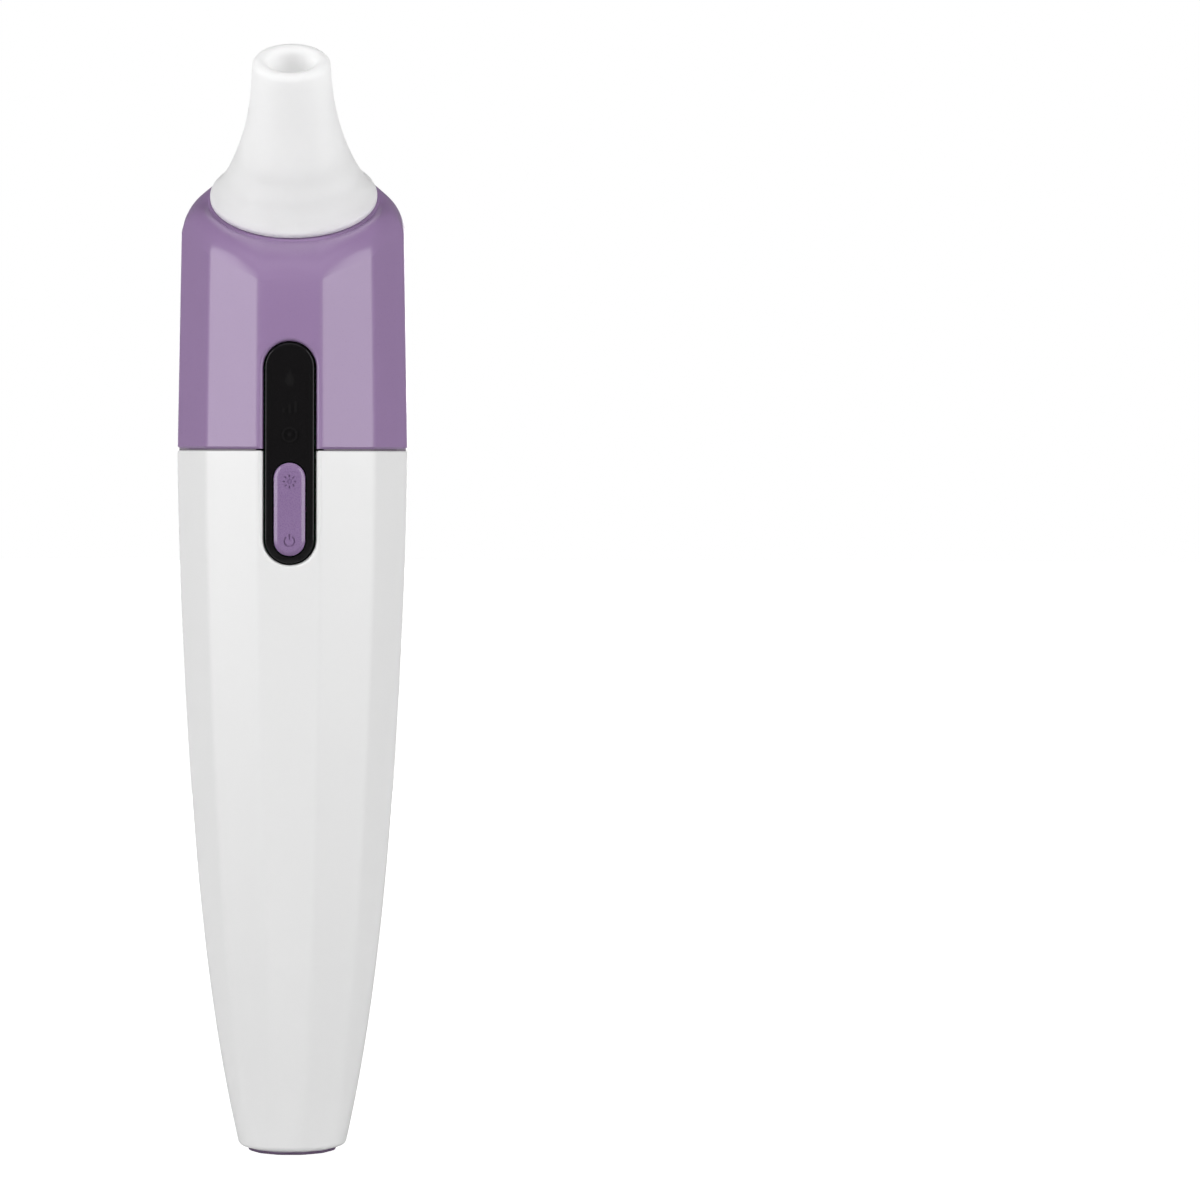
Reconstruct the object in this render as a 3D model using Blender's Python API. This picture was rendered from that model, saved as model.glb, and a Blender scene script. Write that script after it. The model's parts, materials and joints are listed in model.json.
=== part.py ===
"""Blackhead vacuum extractor: a twelve-sided hand-held suction tool.

It stands upright on its foot cap. The origin is the centre of the foot, +Z is up the column,
and the window with the rocker faces -Y. Lengths below are in millimetres and become metres
in the mesh helpers.
"""
import math

import bmesh
import bpy
from mathutils import Matrix, Vector

MM = 0.001

# Column: twelve flat sides, one of them facing -Y
SIDES = 12
SIDE_ANGLE = math.tau / SIDES
EDGE_SOFTEN = math.radians(1.7)      # half width of the small flat on each column edge
WALL = 1.6
GAP = 0.3                            # clearance between pieces that rest on each other
HANDLE_BOTTOM_Z = 0.8
SEAM_Z = 119.4
SEAM_RADIUS = 20.06                  # across the corners, divided by two
HEAD_TAPER = 0.018                   # loss of radius per millimetre above the seam

# Slanted seat that carries the probe
SEAT_Z = 161.8
SEAT_TILT = math.radians(31.7)
SEAT_RADIUS = 14.9
SEAT_THICKNESS = 2.0
SEAT_HOLE_RADIUS = 10.6
SHOULDER_SIDE_Z = 156.5              # where the flat sides end, at the column's left and right
SHOULDER_FRONT_DROP = 0.0263         # the end of the flat sides drops by this times y squared
SHOULDER_BACK_RISE = 0.2             # and rises by this times y behind the axis
SHOULDER_KNEE_RISE = 5.0
SHOULDER_KNEE_INSET = 0.6

# Suction probe, all along its own axis from the seat
PROBE_LENGTH = 26.6
PROBE_BASE_RADIUS = 14.15
PROBE_RIM = 1.2                      # height of the straight edge at the base
PROBE_NECK_RADIUS = 6.55
PROBE_MOUTH_RADIUS = 3.95
PROBE_FLARE = 7.45                   # how much wider than the neck the trumpet opens
PROBE_FLARE_LENGTH = 27.5
PROBE_FLARE_POWER = 2.3
PROBE_FOOT_FLARE = 0.88              # extra flick just above the rim

# Filter socket, seal and screws, in the seat's own frame
COLLAR_RADIUS = 10.2
COLLAR_HEIGHT = 4.0
CUP_RADIUS = 9.2                     # inside of the collar
SPIGOT_RADIUS = 5.85
SPIGOT_HEIGHT = 8.0
SPIGOT_BORE = 3.6
PORT_RADIUS = 1.2
PORT_HEIGHT = 4.2
FLANGE_RADIUS = 13.0
FLANGE_LOW = -3.6
NOZZLE_RADIUS = 3.0
NOZZLE_BORE = 2.1
NOZZLE_LOW = -9.0
SEAL_CENTRE_RADIUS = 11.15
SEAL_CENTRE_HEIGHT = 1.0
SEAL_RADIUS = 0.55
FOAM_INNER_RADIUS = 6.15
FOAM_OUTER_RADIUS = 8.3
FOAM_LOW = 1.9
FOAM_HIGH = 6.8
SCREW_COUNT = 3
SCREW_CIRCLE = 11.8
SCREW_HOLE_RADIUS = 0.9
SCREW_SHANK_RADIUS = 0.65

# Window and rocker
WINDOW_LOW_Z = 100.45
WINDOW_HIGH_Z = 137.2
WINDOW_HALF_WIDTH = 4.05
WINDOW_PROUD = 0.12
WINDOW_BACK_Y = -17.5
ROCKER_LOW_Z = 101.7
ROCKER_HIGH_Z = 117.3
ROCKER_HALF_WIDTH = 2.6
ROCKER_PROUD = 0.4
ROCKER_PIVOT_Y = -15.3
ROCKER_PIVOT_Z = (ROCKER_LOW_Z + ROCKER_HIGH_Z) / 2
SWITCH_OFFSET_Z = 5.0
ICON_HEIGHTS = (121.9, 126.4, 131.2)

# Foot
FOOT_RADIUS = 7.7
CAP_RIM = 0.5                        # thickness of the flange under the handle
CAP_FLOOR = 1.6
CAP_PLUG_HEIGHT = 5.0
CAP_PLUG_WALL = 1.2
CAP_CENTRE = 2.0                     # the slot's middle, cut away by the charging slot
VENT_RADIUS = 0.55
VENT_PITCH = 2.0
VENT_Y = 3.9
USB_HALF_WIDTH = 4.47
USB_HALF_DEPTH = 1.63
USB_WALL = 0.35
USB_LOW_Z = 0.3
USB_HIGH_Z = 8.2

# Drive train
PUMP_Y = 1.5
MOTOR_RADIUS = 9.5
MOTOR_LOW_Z = 85.0
MOTOR_HIGH_Z = 109.5
PUMP_RADIUS = 11.2
PUMP_LOW_Z = 110.0
PUMP_HIGH_Z = 132.0
CARRIER_PIVOT_Z = 120.2
INLET_Y = 6.0

# Battery
CELL_Y = -1.5
CELL_RADIUS = 9.0
CELL_LOW_Z = 28.0
CELL_HIGH_Z = 78.0

COLOURS = {
    "purple": ((0.39, 0.27, 0.45), 0.35, 0.0),
    "white": ((0.82, 0.82, 0.82), 0.32, 0.0),
    "silicone": ((0.87, 0.87, 0.87), 0.6, 0.0),
    "black_gloss": ((0.012, 0.011, 0.012), 0.08, 0.0),
    "black": ((0.03, 0.03, 0.03), 0.5, 0.0),
    "rubber": ((0.05, 0.05, 0.05), 0.8, 0.0),
    "foam": ((0.6, 0.6, 0.6), 0.95, 0.0),
    "clear": ((0.8, 0.85, 0.9), 0.2, 0.0),
    "board": ((0.02, 0.16, 0.08), 0.45, 0.0),
    "steel": ((0.62, 0.62, 0.62), 0.3, 1.0),
    "cell": ((0.1, 0.32, 0.45), 0.4, 0.0),
    "lead_red": ((0.5, 0.03, 0.03), 0.5, 0.0),
    "lead_black": ((0.02, 0.02, 0.02), 0.5, 0.0),
    "lamp": ((0.9, 0.85, 0.6), 0.3, 0.0),
}


# ---------------------------------------------------------------- helpers

def clear_scene():
    for obj in list(bpy.data.objects):
        bpy.data.objects.remove(obj, do_unlink=True)


def material(name):
    found = bpy.data.materials.get(name)
    if found:
        return found
    colour, roughness, metallic = COLOURS[name]
    made = bpy.data.materials.new(name)
    made.use_nodes = True
    shader = made.node_tree.nodes["Principled BSDF"]
    shader.inputs["Base Color"].default_value = (*colour, 1.0)
    shader.inputs["Roughness"].default_value = roughness
    shader.inputs["Metallic"].default_value = metallic
    return made


def add_object(name, bm, colour, smooth_angle=30.0):
    """Turn a bmesh in millimetres into a named object in metres."""
    bmesh.ops.recalc_face_normals(bm, faces=bm.faces)
    bmesh.ops.scale(bm, vec=(MM, MM, MM), verts=bm.verts)
    mesh = bpy.data.meshes.new(name)
    bm.to_mesh(mesh)
    bm.free()
    obj = bpy.data.objects.new(name, mesh)
    bpy.context.scene.collection.objects.link(obj)
    own = material(colour).copy()
    own.name = name
    mesh.materials.append(own)
    mesh.shade_smooth()
    mesh.set_sharp_from_angle(angle=math.radians(smooth_angle))
    return obj


def join_rings(bm, rings, closed=False):
    """Skin a list of equally long vertex rings; closed joins the last ring to the first."""
    pairs = list(zip(rings, rings[1:]))
    if closed:
        pairs.append((rings[-1], rings[0]))
    count = len(rings[0])
    for low, high in pairs:
        for i in range(count):
            j = (i + 1) % count
            bm.faces.new((low[i], low[j], high[j], high[i]))


def ring(bm, points):
    return [bm.verts.new(p) for p in points]


def circle(radius, height=0.0, count=32, x=0.0, y=0.0):
    return [Vector((x + radius * math.cos(math.tau * i / count),
                    y + radius * math.sin(math.tau * i / count), height)) for i in range(count)]


def turned(profile, count=32, x=0.0, y=0.0):
    """Solid of revolution. Profile is (radius, height); a zero radius closes an end flat."""
    bm = bmesh.new()
    rings = [ring(bm, circle(radius, height, count, x, y)) for radius, height in profile if radius > 0]
    capped = len(rings) < len(profile)
    join_rings(bm, rings, closed=not capped)
    if capped:
        bm.faces.new(rings[0])
        bm.faces.new(rings[-1])
    return bm


def solid_disc(radius, low, high, count=32, x=0.0, y=0.0):
    return turned([(0.0, low), (radius, low), (radius, high), (0.0, high)], count, x, y)


def tube(outer, inner, low, high, count=32, x=0.0, y=0.0):
    return turned([(outer, low), (outer, high), (inner, high), (inner, low)], count, x, y)


def box(low, high):
    bm = bmesh.new()
    bmesh.ops.create_cube(bm, size=1.0)
    for vert in bm.verts:
        for axis in range(3):
            vert.co[axis] = high[axis] if vert.co[axis] > 0 else low[axis]
    return bm


def stadium(half_width, half_length, steps=8):
    """Outline points (across, along) of a slot with round ends."""
    centre = half_length - half_width
    points = []
    for end in (0, 1):
        for i in range(steps + 1):
            angle = math.pi * i / steps + math.pi * end
            along = centre if end == 0 else -centre
            points.append((half_width * math.cos(angle), along + half_width * math.sin(angle)))
    return points


def prism(outline, to_low, to_high):
    """Extrude an outline; the two functions place its points on the two ends."""
    bm = bmesh.new()
    low = ring(bm, [to_low(p) for p in outline])
    high = ring(bm, [to_high(p) for p in outline])
    join_rings(bm, [low, high])
    bm.faces.new(low)
    bm.faces.new(high)
    return bm


def seat_matrix(turn=0.0):
    """Place geometry made around +Z onto the slanted seat."""
    tilt = Matrix.Rotation(SEAT_TILT, 4, "X")
    return Matrix.Translation((0.0, 0.0, SEAT_Z)) @ tilt @ Matrix.Rotation(turn, 4, "Z")


def on_seat(bm, turn=0.0):
    bm.transform(seat_matrix(turn))
    return bm


def cutter(name, bm):
    obj = add_object(name, bm, "black")
    obj.hide_render = True
    obj.display_type = "WIRE"
    return obj


def boolean(obj, other, operation="DIFFERENCE"):
    modifier = obj.modifiers.new(other.name, "BOOLEAN")
    modifier.operation = operation
    modifier.object = other
    modifier.solver = "EXACT"


def set_pivot(obj, point):
    """Move the object's origin onto its joint without moving its mesh."""
    offset = Vector(point) * MM
    obj.data.transform(Matrix.Translation(-offset))
    obj.location = offset


# ---------------------------------------------------------------- column outline

def column_radius(z):
    """Corner radius of the column: convex taper in the handle, slight taper in the head."""
    if z >= SEAM_Z:
        return SEAM_RADIUS - HEAD_TAPER * (z - SEAM_Z)
    down = (SEAM_Z - z) / SEAM_Z
    return SEAM_RADIUS - 7.52 * down ** 1.6 - 3.35 * down ** 5


def flat_distance(z):
    """Distance from the axis to the middle of a flat side."""
    return column_radius(z) * math.cos(SIDE_ANGLE / 2)


def column_angles(middles=False):
    """Columns of points just inside each side's edges, and in its middle where it turns round."""
    angles = []
    for side in range(SIDES):
        middle = -math.pi / 2 + side * SIDE_ANGLE
        for sign in (-1, 0, 1) if middles else (-1, 1):
            angles.append(middle + sign * (SIDE_ANGLE / 2 - EDGE_SOFTEN))
    return angles


def side_radius(angle, flat):
    """Radius at an angle of a twelve-sided outline whose sides lie at distance flat."""
    local = (angle + math.pi / 2 + SIDE_ANGLE / 2) % SIDE_ANGLE - SIDE_ANGLE / 2
    return flat / math.cos(local)


def column_ring(flat, height, middles=False):
    return [Vector((side_radius(a, flat) * math.cos(a), side_radius(a, flat) * math.sin(a), height))
            for a in column_angles(middles)]


def shoulder_start(y):
    """Height at which the flat sides give way to the rounded shoulder."""
    if y < 0:
        return SHOULDER_SIDE_Z - SHOULDER_FRONT_DROP * y * y
    return SHOULDER_SIDE_Z + SHOULDER_BACK_RISE * y


def seat_point(angle, radius, depth=0.0):
    return seat_matrix() @ Vector((radius * math.cos(angle), radius * math.sin(angle), -depth))


# ---------------------------------------------------------------- shells

def window_outline(grow=0.0):
    return stadium(WINDOW_HALF_WIDTH + grow, (WINDOW_HIGH_Z - WINDOW_LOW_Z) / 2 + grow, 9)


def window_cutter():
    middle = (WINDOW_HIGH_Z + WINDOW_LOW_Z) / 2
    return cutter("window_cutter", prism(window_outline(GAP),
                                         lambda p: (p[0], -25.0, middle + p[1]),
                                         lambda p: (p[0], -12.0, middle + p[1])))


def make_handle_shell(window):
    bm = bmesh.new()
    steps = 15
    heights = [HANDLE_BOTTOM_Z + (SEAM_Z - GAP / 2 - HANDLE_BOTTOM_Z) * (i / steps) ** 1.35
               for i in range(steps + 1)]
    rings = [ring(bm, column_ring(flat_distance(HANDLE_BOTTOM_Z) - 0.5, HANDLE_BOTTOM_Z))]
    rings += [ring(bm, column_ring(flat_distance(z), z + (0.5 if i == 0 else 0.0)))
              for i, z in enumerate(heights)]
    rings += [ring(bm, column_ring(flat_distance(z) - WALL, z)) for z in reversed(heights)]
    join_rings(bm, rings, closed=True)
    shell = add_object("handle_shell", bm, "white", 20.0)
    boolean(shell, window)


def shoulder_ring(bm, t, inset=0.0):
    """One ring of the shoulder: t runs 0 at the flat sides to 1 at the seat's edge."""
    points = []
    flat = flat_distance(SHOULDER_SIDE_Z) - inset
    for angle in column_angles(middles=True):
        outward = Vector((math.cos(angle), math.sin(angle), 0.0))
        foot = outward * side_radius(angle, flat)
        foot.z = shoulder_start(foot.y) - inset * 0.4
        knee = outward * (flat - SHOULDER_KNEE_INSET)
        knee.z = foot.z + SHOULDER_KNEE_RISE
        rim = seat_point(angle, SEAT_RADIUS - inset, SEAT_THICKNESS if inset else 0.0)
        points.append(foot * (1 - t) ** 2 + knee * 2 * t * (1 - t) + rim * t ** 2)
    return ring(bm, points)


def make_head_housing(window):
    bm = bmesh.new()
    angles = column_angles(middles=True)
    low = SEAM_Z + GAP / 2
    heights = [low, 128.0, 137.0, 144.0]
    turns = [0.0, 0.16, 0.32, 0.48, 0.64, 0.82, 1.0]
    rings = [ring(bm, column_ring(flat_distance(z), z, middles=True)) for z in heights]
    rings += [shoulder_ring(bm, t) for t in turns]
    rings.append(ring(bm, [seat_point(a, SEAT_HOLE_RADIUS) for a in angles]))
    rings.append(ring(bm, [seat_point(a, SEAT_HOLE_RADIUS, SEAT_THICKNESS) for a in angles]))
    rings += [shoulder_ring(bm, t, WALL) for t in reversed(turns[::2])]
    rings += [ring(bm, column_ring(flat_distance(z) - WALL, z, middles=True)) for z in reversed(heights)]
    join_rings(bm, rings, closed=True)
    shell = add_object("head_housing", bm, "purple", 20.0)
    boolean(shell, window)
    for i in range(SCREW_COUNT):
        hole = solid_disc(SCREW_HOLE_RADIUS, -SEAT_THICKNESS - 1.5, -0.9, 12, SCREW_CIRCLE)
        boolean(shell, cutter(f"seat_screw_hole_{i + 1}", on_seat(hole, screw_turn(i))))


def make_coupling_ring(window):
    """Inner collar that head and handle both slide onto; it shows black in the seam."""
    bm = bmesh.new()
    outer = flat_distance(SEAM_Z) - WALL - GAP
    rings = [ring(bm, column_ring(outer - step, z)) for step, z in
             ((0.4, SEAM_Z - 4.0), (0.0, SEAM_Z - 3.4), (0.0, SEAM_Z + 3.4), (0.4, SEAM_Z + 4.0),
              (1.2, SEAM_Z + 4.0), (1.2, SEAM_Z - 4.0))]
    join_rings(bm, rings, closed=True)
    boolean(add_object("coupling_ring", bm, "black", 20.0), window)


def make_bottom_cap():
    plug = flat_distance(HANDLE_BOTTOM_Z) - WALL - GAP
    bm = bmesh.new()
    inner = plug - CAP_PLUG_WALL
    rings = [ring(bm, column_ring(r, z)) for r, z in
             ((inner, CAP_PLUG_HEIGHT), (inner, CAP_FLOOR), (CAP_CENTRE, CAP_FLOOR), (CAP_CENTRE, 0.0),
              (FOOT_RADIUS - 0.55, 0.0), (FOOT_RADIUS - 0.25, 0.3), (FOOT_RADIUS - 0.25, CAP_RIM),
              (plug, CAP_RIM), (plug, CAP_PLUG_HEIGHT))]
    join_rings(bm, rings, closed=True)
    cap = add_object("bottom_cap", bm, "purple", 20.0)
    slot = prism(stadium(USB_HALF_DEPTH + GAP, USB_HALF_WIDTH + GAP),
                 lambda p: (p[1], p[0], -1.0), lambda p: (p[1], p[0], 2.5))
    boolean(cap, cutter("usb_slot", slot))
    for side in (-1, 1):
        for i in (-1, 0, 1):
            vent = solid_disc(VENT_RADIUS, -1.0, 2.5, 10, VENT_PITCH * i, VENT_Y * side)
            boolean(cap, cutter(f"vent_{side + 1}_{i + 1}", vent))


# ---------------------------------------------------------------- probe end

def probe_radius(s):
    """Outer radius of the trumpet at a distance s above its base."""
    trumpet = PROBE_FLARE * (1 - s / PROBE_FLARE_LENGTH) ** PROBE_FLARE_POWER
    foot = PROBE_FOOT_FLARE * math.exp(1 - s / PROBE_RIM)
    return PROBE_NECK_RADIUS + trumpet + foot


def make_suction_probe():
    lip = (PROBE_NECK_RADIUS - PROBE_MOUTH_RADIUS) / 2
    lip_centre = PROBE_MOUTH_RADIUS + lip
    outside = [(PROBE_BASE_RADIUS - 0.3, GAP), (PROBE_BASE_RADIUS, GAP + 0.3)]
    for s in (PROBE_RIM, 1.8, 2.6, 3.8, 5.6, 8.0, 11.0, 14.5, 18.5, 22.0):
        outside.append((min(probe_radius(s), PROBE_BASE_RADIUS), s))
    for i in range(5):
        angle = math.pi * i / 4
        outside.append((lip_centre + lip * math.cos(angle), PROBE_LENGTH - lip * (1 - math.sin(angle))))
    inside = [(4.3, 22.0), (5.2, 17.0), (6.2, 12.5), (7.4, 9.6), (8.8, 8.0), (9.0, 4.9), (10.6, 4.4),
              (10.6, 2.3), (12.0, 2.0), (12.0, GAP)]
    probe = add_object("suction_probe", on_seat(turned(outside + inside, 40)), "silicone")
    set_pivot(probe, (0.0, 0.0, SEAT_Z))


def make_seal_ring():
    profile = []
    for i in range(10):
        angle = math.tau * i / 10
        profile.append((SEAL_CENTRE_RADIUS + SEAL_RADIUS * math.cos(angle),
                        SEAL_CENTRE_HEIGHT + SEAL_RADIUS * math.sin(angle)))
    add_object("probe_seal_ring", on_seat(turned(profile, 32)), "rubber")


def make_foam_filter_ring():
    foam = tube(FOAM_OUTER_RADIUS, FOAM_INNER_RADIUS, FOAM_LOW, FOAM_HIGH, 28)
    set_pivot(add_object("foam_filter_ring", on_seat(foam), "foam"), (0.0, 0.0, SEAT_Z))


def screw_turn(i):
    return math.radians(90.0 + 120.0 * i)


def make_filter_socket():
    """Cup on the seat with a hollow spigot; side ports let air in through the foam ring."""
    under_seat = -SEAT_THICKNESS - GAP
    floor = FOAM_LOW - GAP
    outside = [(NOZZLE_BORE, NOZZLE_LOW), (NOZZLE_RADIUS, NOZZLE_LOW), (NOZZLE_RADIUS, -4.6), (4.4, -4.0),
               (4.4, floor - 1.0), (CUP_RADIUS, floor - 1.0), (CUP_RADIUS, FLANGE_LOW),
               (FLANGE_RADIUS, FLANGE_LOW), (FLANGE_RADIUS, under_seat), (COLLAR_RADIUS, under_seat),
               (COLLAR_RADIUS, COLLAR_HEIGHT - 0.3), (COLLAR_RADIUS - 0.3, COLLAR_HEIGHT)]
    inside = [(CUP_RADIUS, COLLAR_HEIGHT), (CUP_RADIUS, floor), (SPIGOT_RADIUS, floor),
              (SPIGOT_RADIUS, SPIGOT_HEIGHT - 0.4), (SPIGOT_RADIUS - 0.45, SPIGOT_HEIGHT),
              (0.0, SPIGOT_HEIGHT)]
    profile = outside + inside
    bore = [(0.0, SPIGOT_HEIGHT - 1.0), (SPIGOT_BORE, SPIGOT_HEIGHT - 1.0), (SPIGOT_BORE, 1.0),
            (NOZZLE_BORE, 0.0)]
    bm = turned(list(reversed(profile)) + list(reversed(bore)), 32)
    socket = add_object("filter_socket", on_seat(bm), "white")
    for i in range(2):
        port = solid_disc(PORT_RADIUS, -9.0, 9.0, 12)
        port.transform(Matrix.Translation((0.0, 0.0, PORT_HEIGHT)) @ Matrix.Rotation(math.pi / 2, 4, "X"))
        boolean(socket, cutter(f"socket_port_{i + 1}", on_seat(port, math.pi * i / 2)))
    for i in range(SCREW_COUNT):
        hole = solid_disc(SCREW_HOLE_RADIUS, -4.5, -1.0, 12, SCREW_CIRCLE)
        boolean(socket, cutter(f"flange_hole_{i + 1}", on_seat(hole, screw_turn(i))))


def make_socket_screws():
    for i in range(SCREW_COUNT):
        profile = [(0.0, -5.2), (1.2, -5.2), (1.25, -3.9), (SCREW_SHANK_RADIUS, -3.9),
                   (SCREW_SHANK_RADIUS, -1.3), (0.0, -1.3)]
        screw = turned(profile, 12, SCREW_CIRCLE)
        add_object(f"socket_screw_{i + 1}", on_seat(screw, screw_turn(i)), "steel")


def make_head_leds():
    add_object("led_board", on_seat(tube(8.8, 4.8, -1.4, -0.6, 28)), "board")
    for i in range(4):
        lamp = box((5.9, -0.8, -0.45), (7.7, 0.8, 0.3))
        add_object(f"head_led_{i + 1}", on_seat(lamp, math.tau * (i + 0.5) / 4), "lamp")


# ---------------------------------------------------------------- window group

def slab_rows(low_z, high_z, half_width, steps=6):
    """Rows (half width, height) of a slot shape, from its bottom end to its top end."""
    rows = []
    for i in range(steps + 1):
        angle = math.radians(12.0) + (math.pi / 2 - math.radians(12.0)) * i / steps
        rows.append((half_width * math.sin(angle), low_z + half_width * (1 - math.cos(angle))))
    mirror_rows = [(w, high_z - (z - low_z)) for w, z in reversed(rows)]
    middle = (rows[-1][1] + mirror_rows[0][1]) / 2
    return rows + [(half_width, middle)] + mirror_rows


def make_slab(rows, proud, back_y, edge=0.25):
    """A bowed slab that follows the front side of the column, with a narrow chamfer."""
    bm = bmesh.new()
    rings = []
    for half, z in rows:
        front = -(flat_distance(z) + proud)
        soft = min(edge, half / 2)
        rings.append(ring(bm, [(-half, back_y, z), (half, back_y, z), (half, front + edge, z),
                               (half - soft, front, z), (soft - half, front, z),
                               (-half, front + edge, z)]))
    join_rings(bm, rings)
    bm.faces.new(rings[0])
    bm.faces.new(rings[-1])
    return bm


def make_display_lens():
    rows = slab_rows(WINDOW_LOW_Z, WINDOW_HIGH_Z, WINDOW_HALF_WIDTH)
    lens = add_object("display_lens", make_slab(rows, WINDOW_PROUD, WINDOW_BACK_Y), "black_gloss")
    outline = stadium(ROCKER_HALF_WIDTH + GAP, (ROCKER_HIGH_Z - ROCKER_LOW_Z) / 2 + GAP)
    boolean(lens, cutter("rocker_hole", prism(outline,
                                              lambda p: (p[0], -25.0, ROCKER_PIVOT_Z + p[1]),
                                              lambda p: (p[0], -15.0, ROCKER_PIVOT_Z + p[1]))))


def make_lens_frame():
    """Black carrier behind the window; the rocker and the light guide pass through it."""
    middle = (WINDOW_HIGH_Z + WINDOW_LOW_Z) / 2
    half = (WINDOW_HIGH_Z - WINDOW_LOW_Z) / 2 + 0.6
    inner_half = half - 1.2
    bm = bmesh.new()
    rings = []
    for width, length, y in ((4.0, half, -16.9), (4.0, half, -15.9),
                             (2.8, inner_half, -15.9), (2.8, inner_half, -16.9)):
        rings.append(ring(bm, [(p[0], y, middle + p[1]) for p in stadium(width, length)]))
    join_rings(bm, rings, closed=True)
    add_object("lens_frame", bm, "black")


def make_rocker_button():
    rows = slab_rows(ROCKER_LOW_Z, ROCKER_HIGH_Z, ROCKER_HALF_WIDTH)
    rocker = add_object("rocker_button", make_slab(rows, ROCKER_PROUD, WINDOW_BACK_Y), "purple")
    lug = box((-2.2, WINDOW_BACK_Y - 0.5, ROCKER_PIVOT_Z - 1.0),
              (2.2, ROCKER_PIVOT_Y + 0.6, ROCKER_PIVOT_Z + 1.0))
    boolean(rocker, cutter("rocker_lug", lug), "UNION")
    pin = solid_disc(0.4, -3.9, 3.9, 12)
    pin.transform(Matrix.Translation((0.0, ROCKER_PIVOT_Y, ROCKER_PIVOT_Z))
                  @ Matrix.Rotation(math.pi / 2, 4, "Y"))
    boolean(rocker, cutter("rocker_trunnions", pin), "UNION")
    for sign in (-1, 1):
        nub = solid_disc(0.8, 0.0, 1.4, 12)
        nub.transform(Matrix.Translation((0.0, -16.6, ROCKER_PIVOT_Z + sign * SWITCH_OFFSET_Z))
                      @ Matrix.Rotation(math.pi / 2, 4, "X"))
        boolean(rocker, cutter(f"rocker_nub_{sign + 1}", nub), "UNION")
    set_pivot(rocker, (0.0, ROCKER_PIVOT_Y, ROCKER_PIVOT_Z))
    return rocker


def make_switches():
    for name, sign in (("lower", -1), ("upper", 1)):
        z = ROCKER_PIVOT_Z + sign * SWITCH_OFFSET_Z
        body = add_object(f"switch_{name}", box((-1.8, -15.7, z - 1.8), (1.8, -14.25, z + 1.8)), "black")
        well = solid_disc(1.1, 0.0, 2.0, 14)
        well.transform(Matrix.Translation((0.0, -14.75, z)) @ Matrix.Rotation(math.pi / 2, 4, "X"))
        boolean(body, cutter(f"switch_well_{name}", well))
        stem = solid_disc(0.8, 0.0, 1.0, 14)
        stem.transform(Matrix.Translation((0.0, -15.15, z)) @ Matrix.Rotation(math.pi / 2, 4, "X"))
        plunger = add_object(f"plunger_{name}", stem, "steel")
        set_pivot(plunger, (0.0, -15.15, z))


def make_main_board():
    outline = stadium(7.2, 20.5, 6)
    board = prism(outline, lambda p: (p[0], -14.1, 117.5 + p[1]), lambda p: (p[0], -13.1, 117.5 + p[1]))
    add_object("main_pcb", board, "board")
    add_object("control_chip", box((-2.5, -12.95, 121.0), (2.5, -12.0, 126.0)), "black")
    for i, z in enumerate(ICON_HEIGHTS):
        add_object(f"icon_led_{i + 1}", box((-0.8, -14.95, z - 0.5), (0.8, -14.25, z + 0.5)), "lamp")
    add_object("light_guide", box((-2.2, -17.1, ICON_HEIGHTS[0] - 2.0), (2.2, -15.3, ICON_HEIGHTS[-1] + 2.0)),
               "clear")


# ---------------------------------------------------------------- drive train

def make_motor():
    can = [(0.0, MOTOR_LOW_Z + 2.0), (MOTOR_RADIUS - 0.6, MOTOR_LOW_Z + 2.0),
           (MOTOR_RADIUS, MOTOR_LOW_Z + 2.6), (MOTOR_RADIUS, MOTOR_HIGH_Z - 0.8),
           (MOTOR_RADIUS - 0.8, MOTOR_HIGH_Z), (3.0, MOTOR_HIGH_Z), (3.0, MOTOR_HIGH_Z + 1.2),
           (1.4, MOTOR_HIGH_Z + 1.2), (1.4, MOTOR_LOW_Z + 5.0), (0.0, MOTOR_LOW_Z + 5.0)]
    add_object("motor_can", turned(can, 32, 0.0, PUMP_Y), "steel")
    end_cap = [(0.0, MOTOR_LOW_Z - 0.6), (6.5, MOTOR_LOW_Z - 0.6), (7.2, MOTOR_LOW_Z),
               (7.2, MOTOR_LOW_Z + 1.7), (0.0, MOTOR_LOW_Z + 1.7)]
    add_object("motor_end_cap", turned(end_cap, 24, 0.0, PUMP_Y), "black")
    sleeve = tube(MOTOR_RADIUS + 1.3, MOTOR_RADIUS + 0.3, MOTOR_LOW_Z + 4.0, MOTOR_HIGH_Z - 3.0, 32,
                  0.0, PUMP_Y)
    add_object("motor_damper", sleeve, "rubber")


def make_motor_shaft():
    shaft = add_object("motor_shaft", solid_disc(1.0, MOTOR_LOW_Z + 5.4, 115.0, 16, 0.0, PUMP_Y), "steel")
    crank = solid_disc(4.2, 113.0, 116.6, 24, 1.2, PUMP_Y)
    boolean(shaft, cutter("crank_disc", crank), "UNION")
    set_pivot(shaft, (0.0, PUMP_Y, MOTOR_HIGH_Z))


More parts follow.
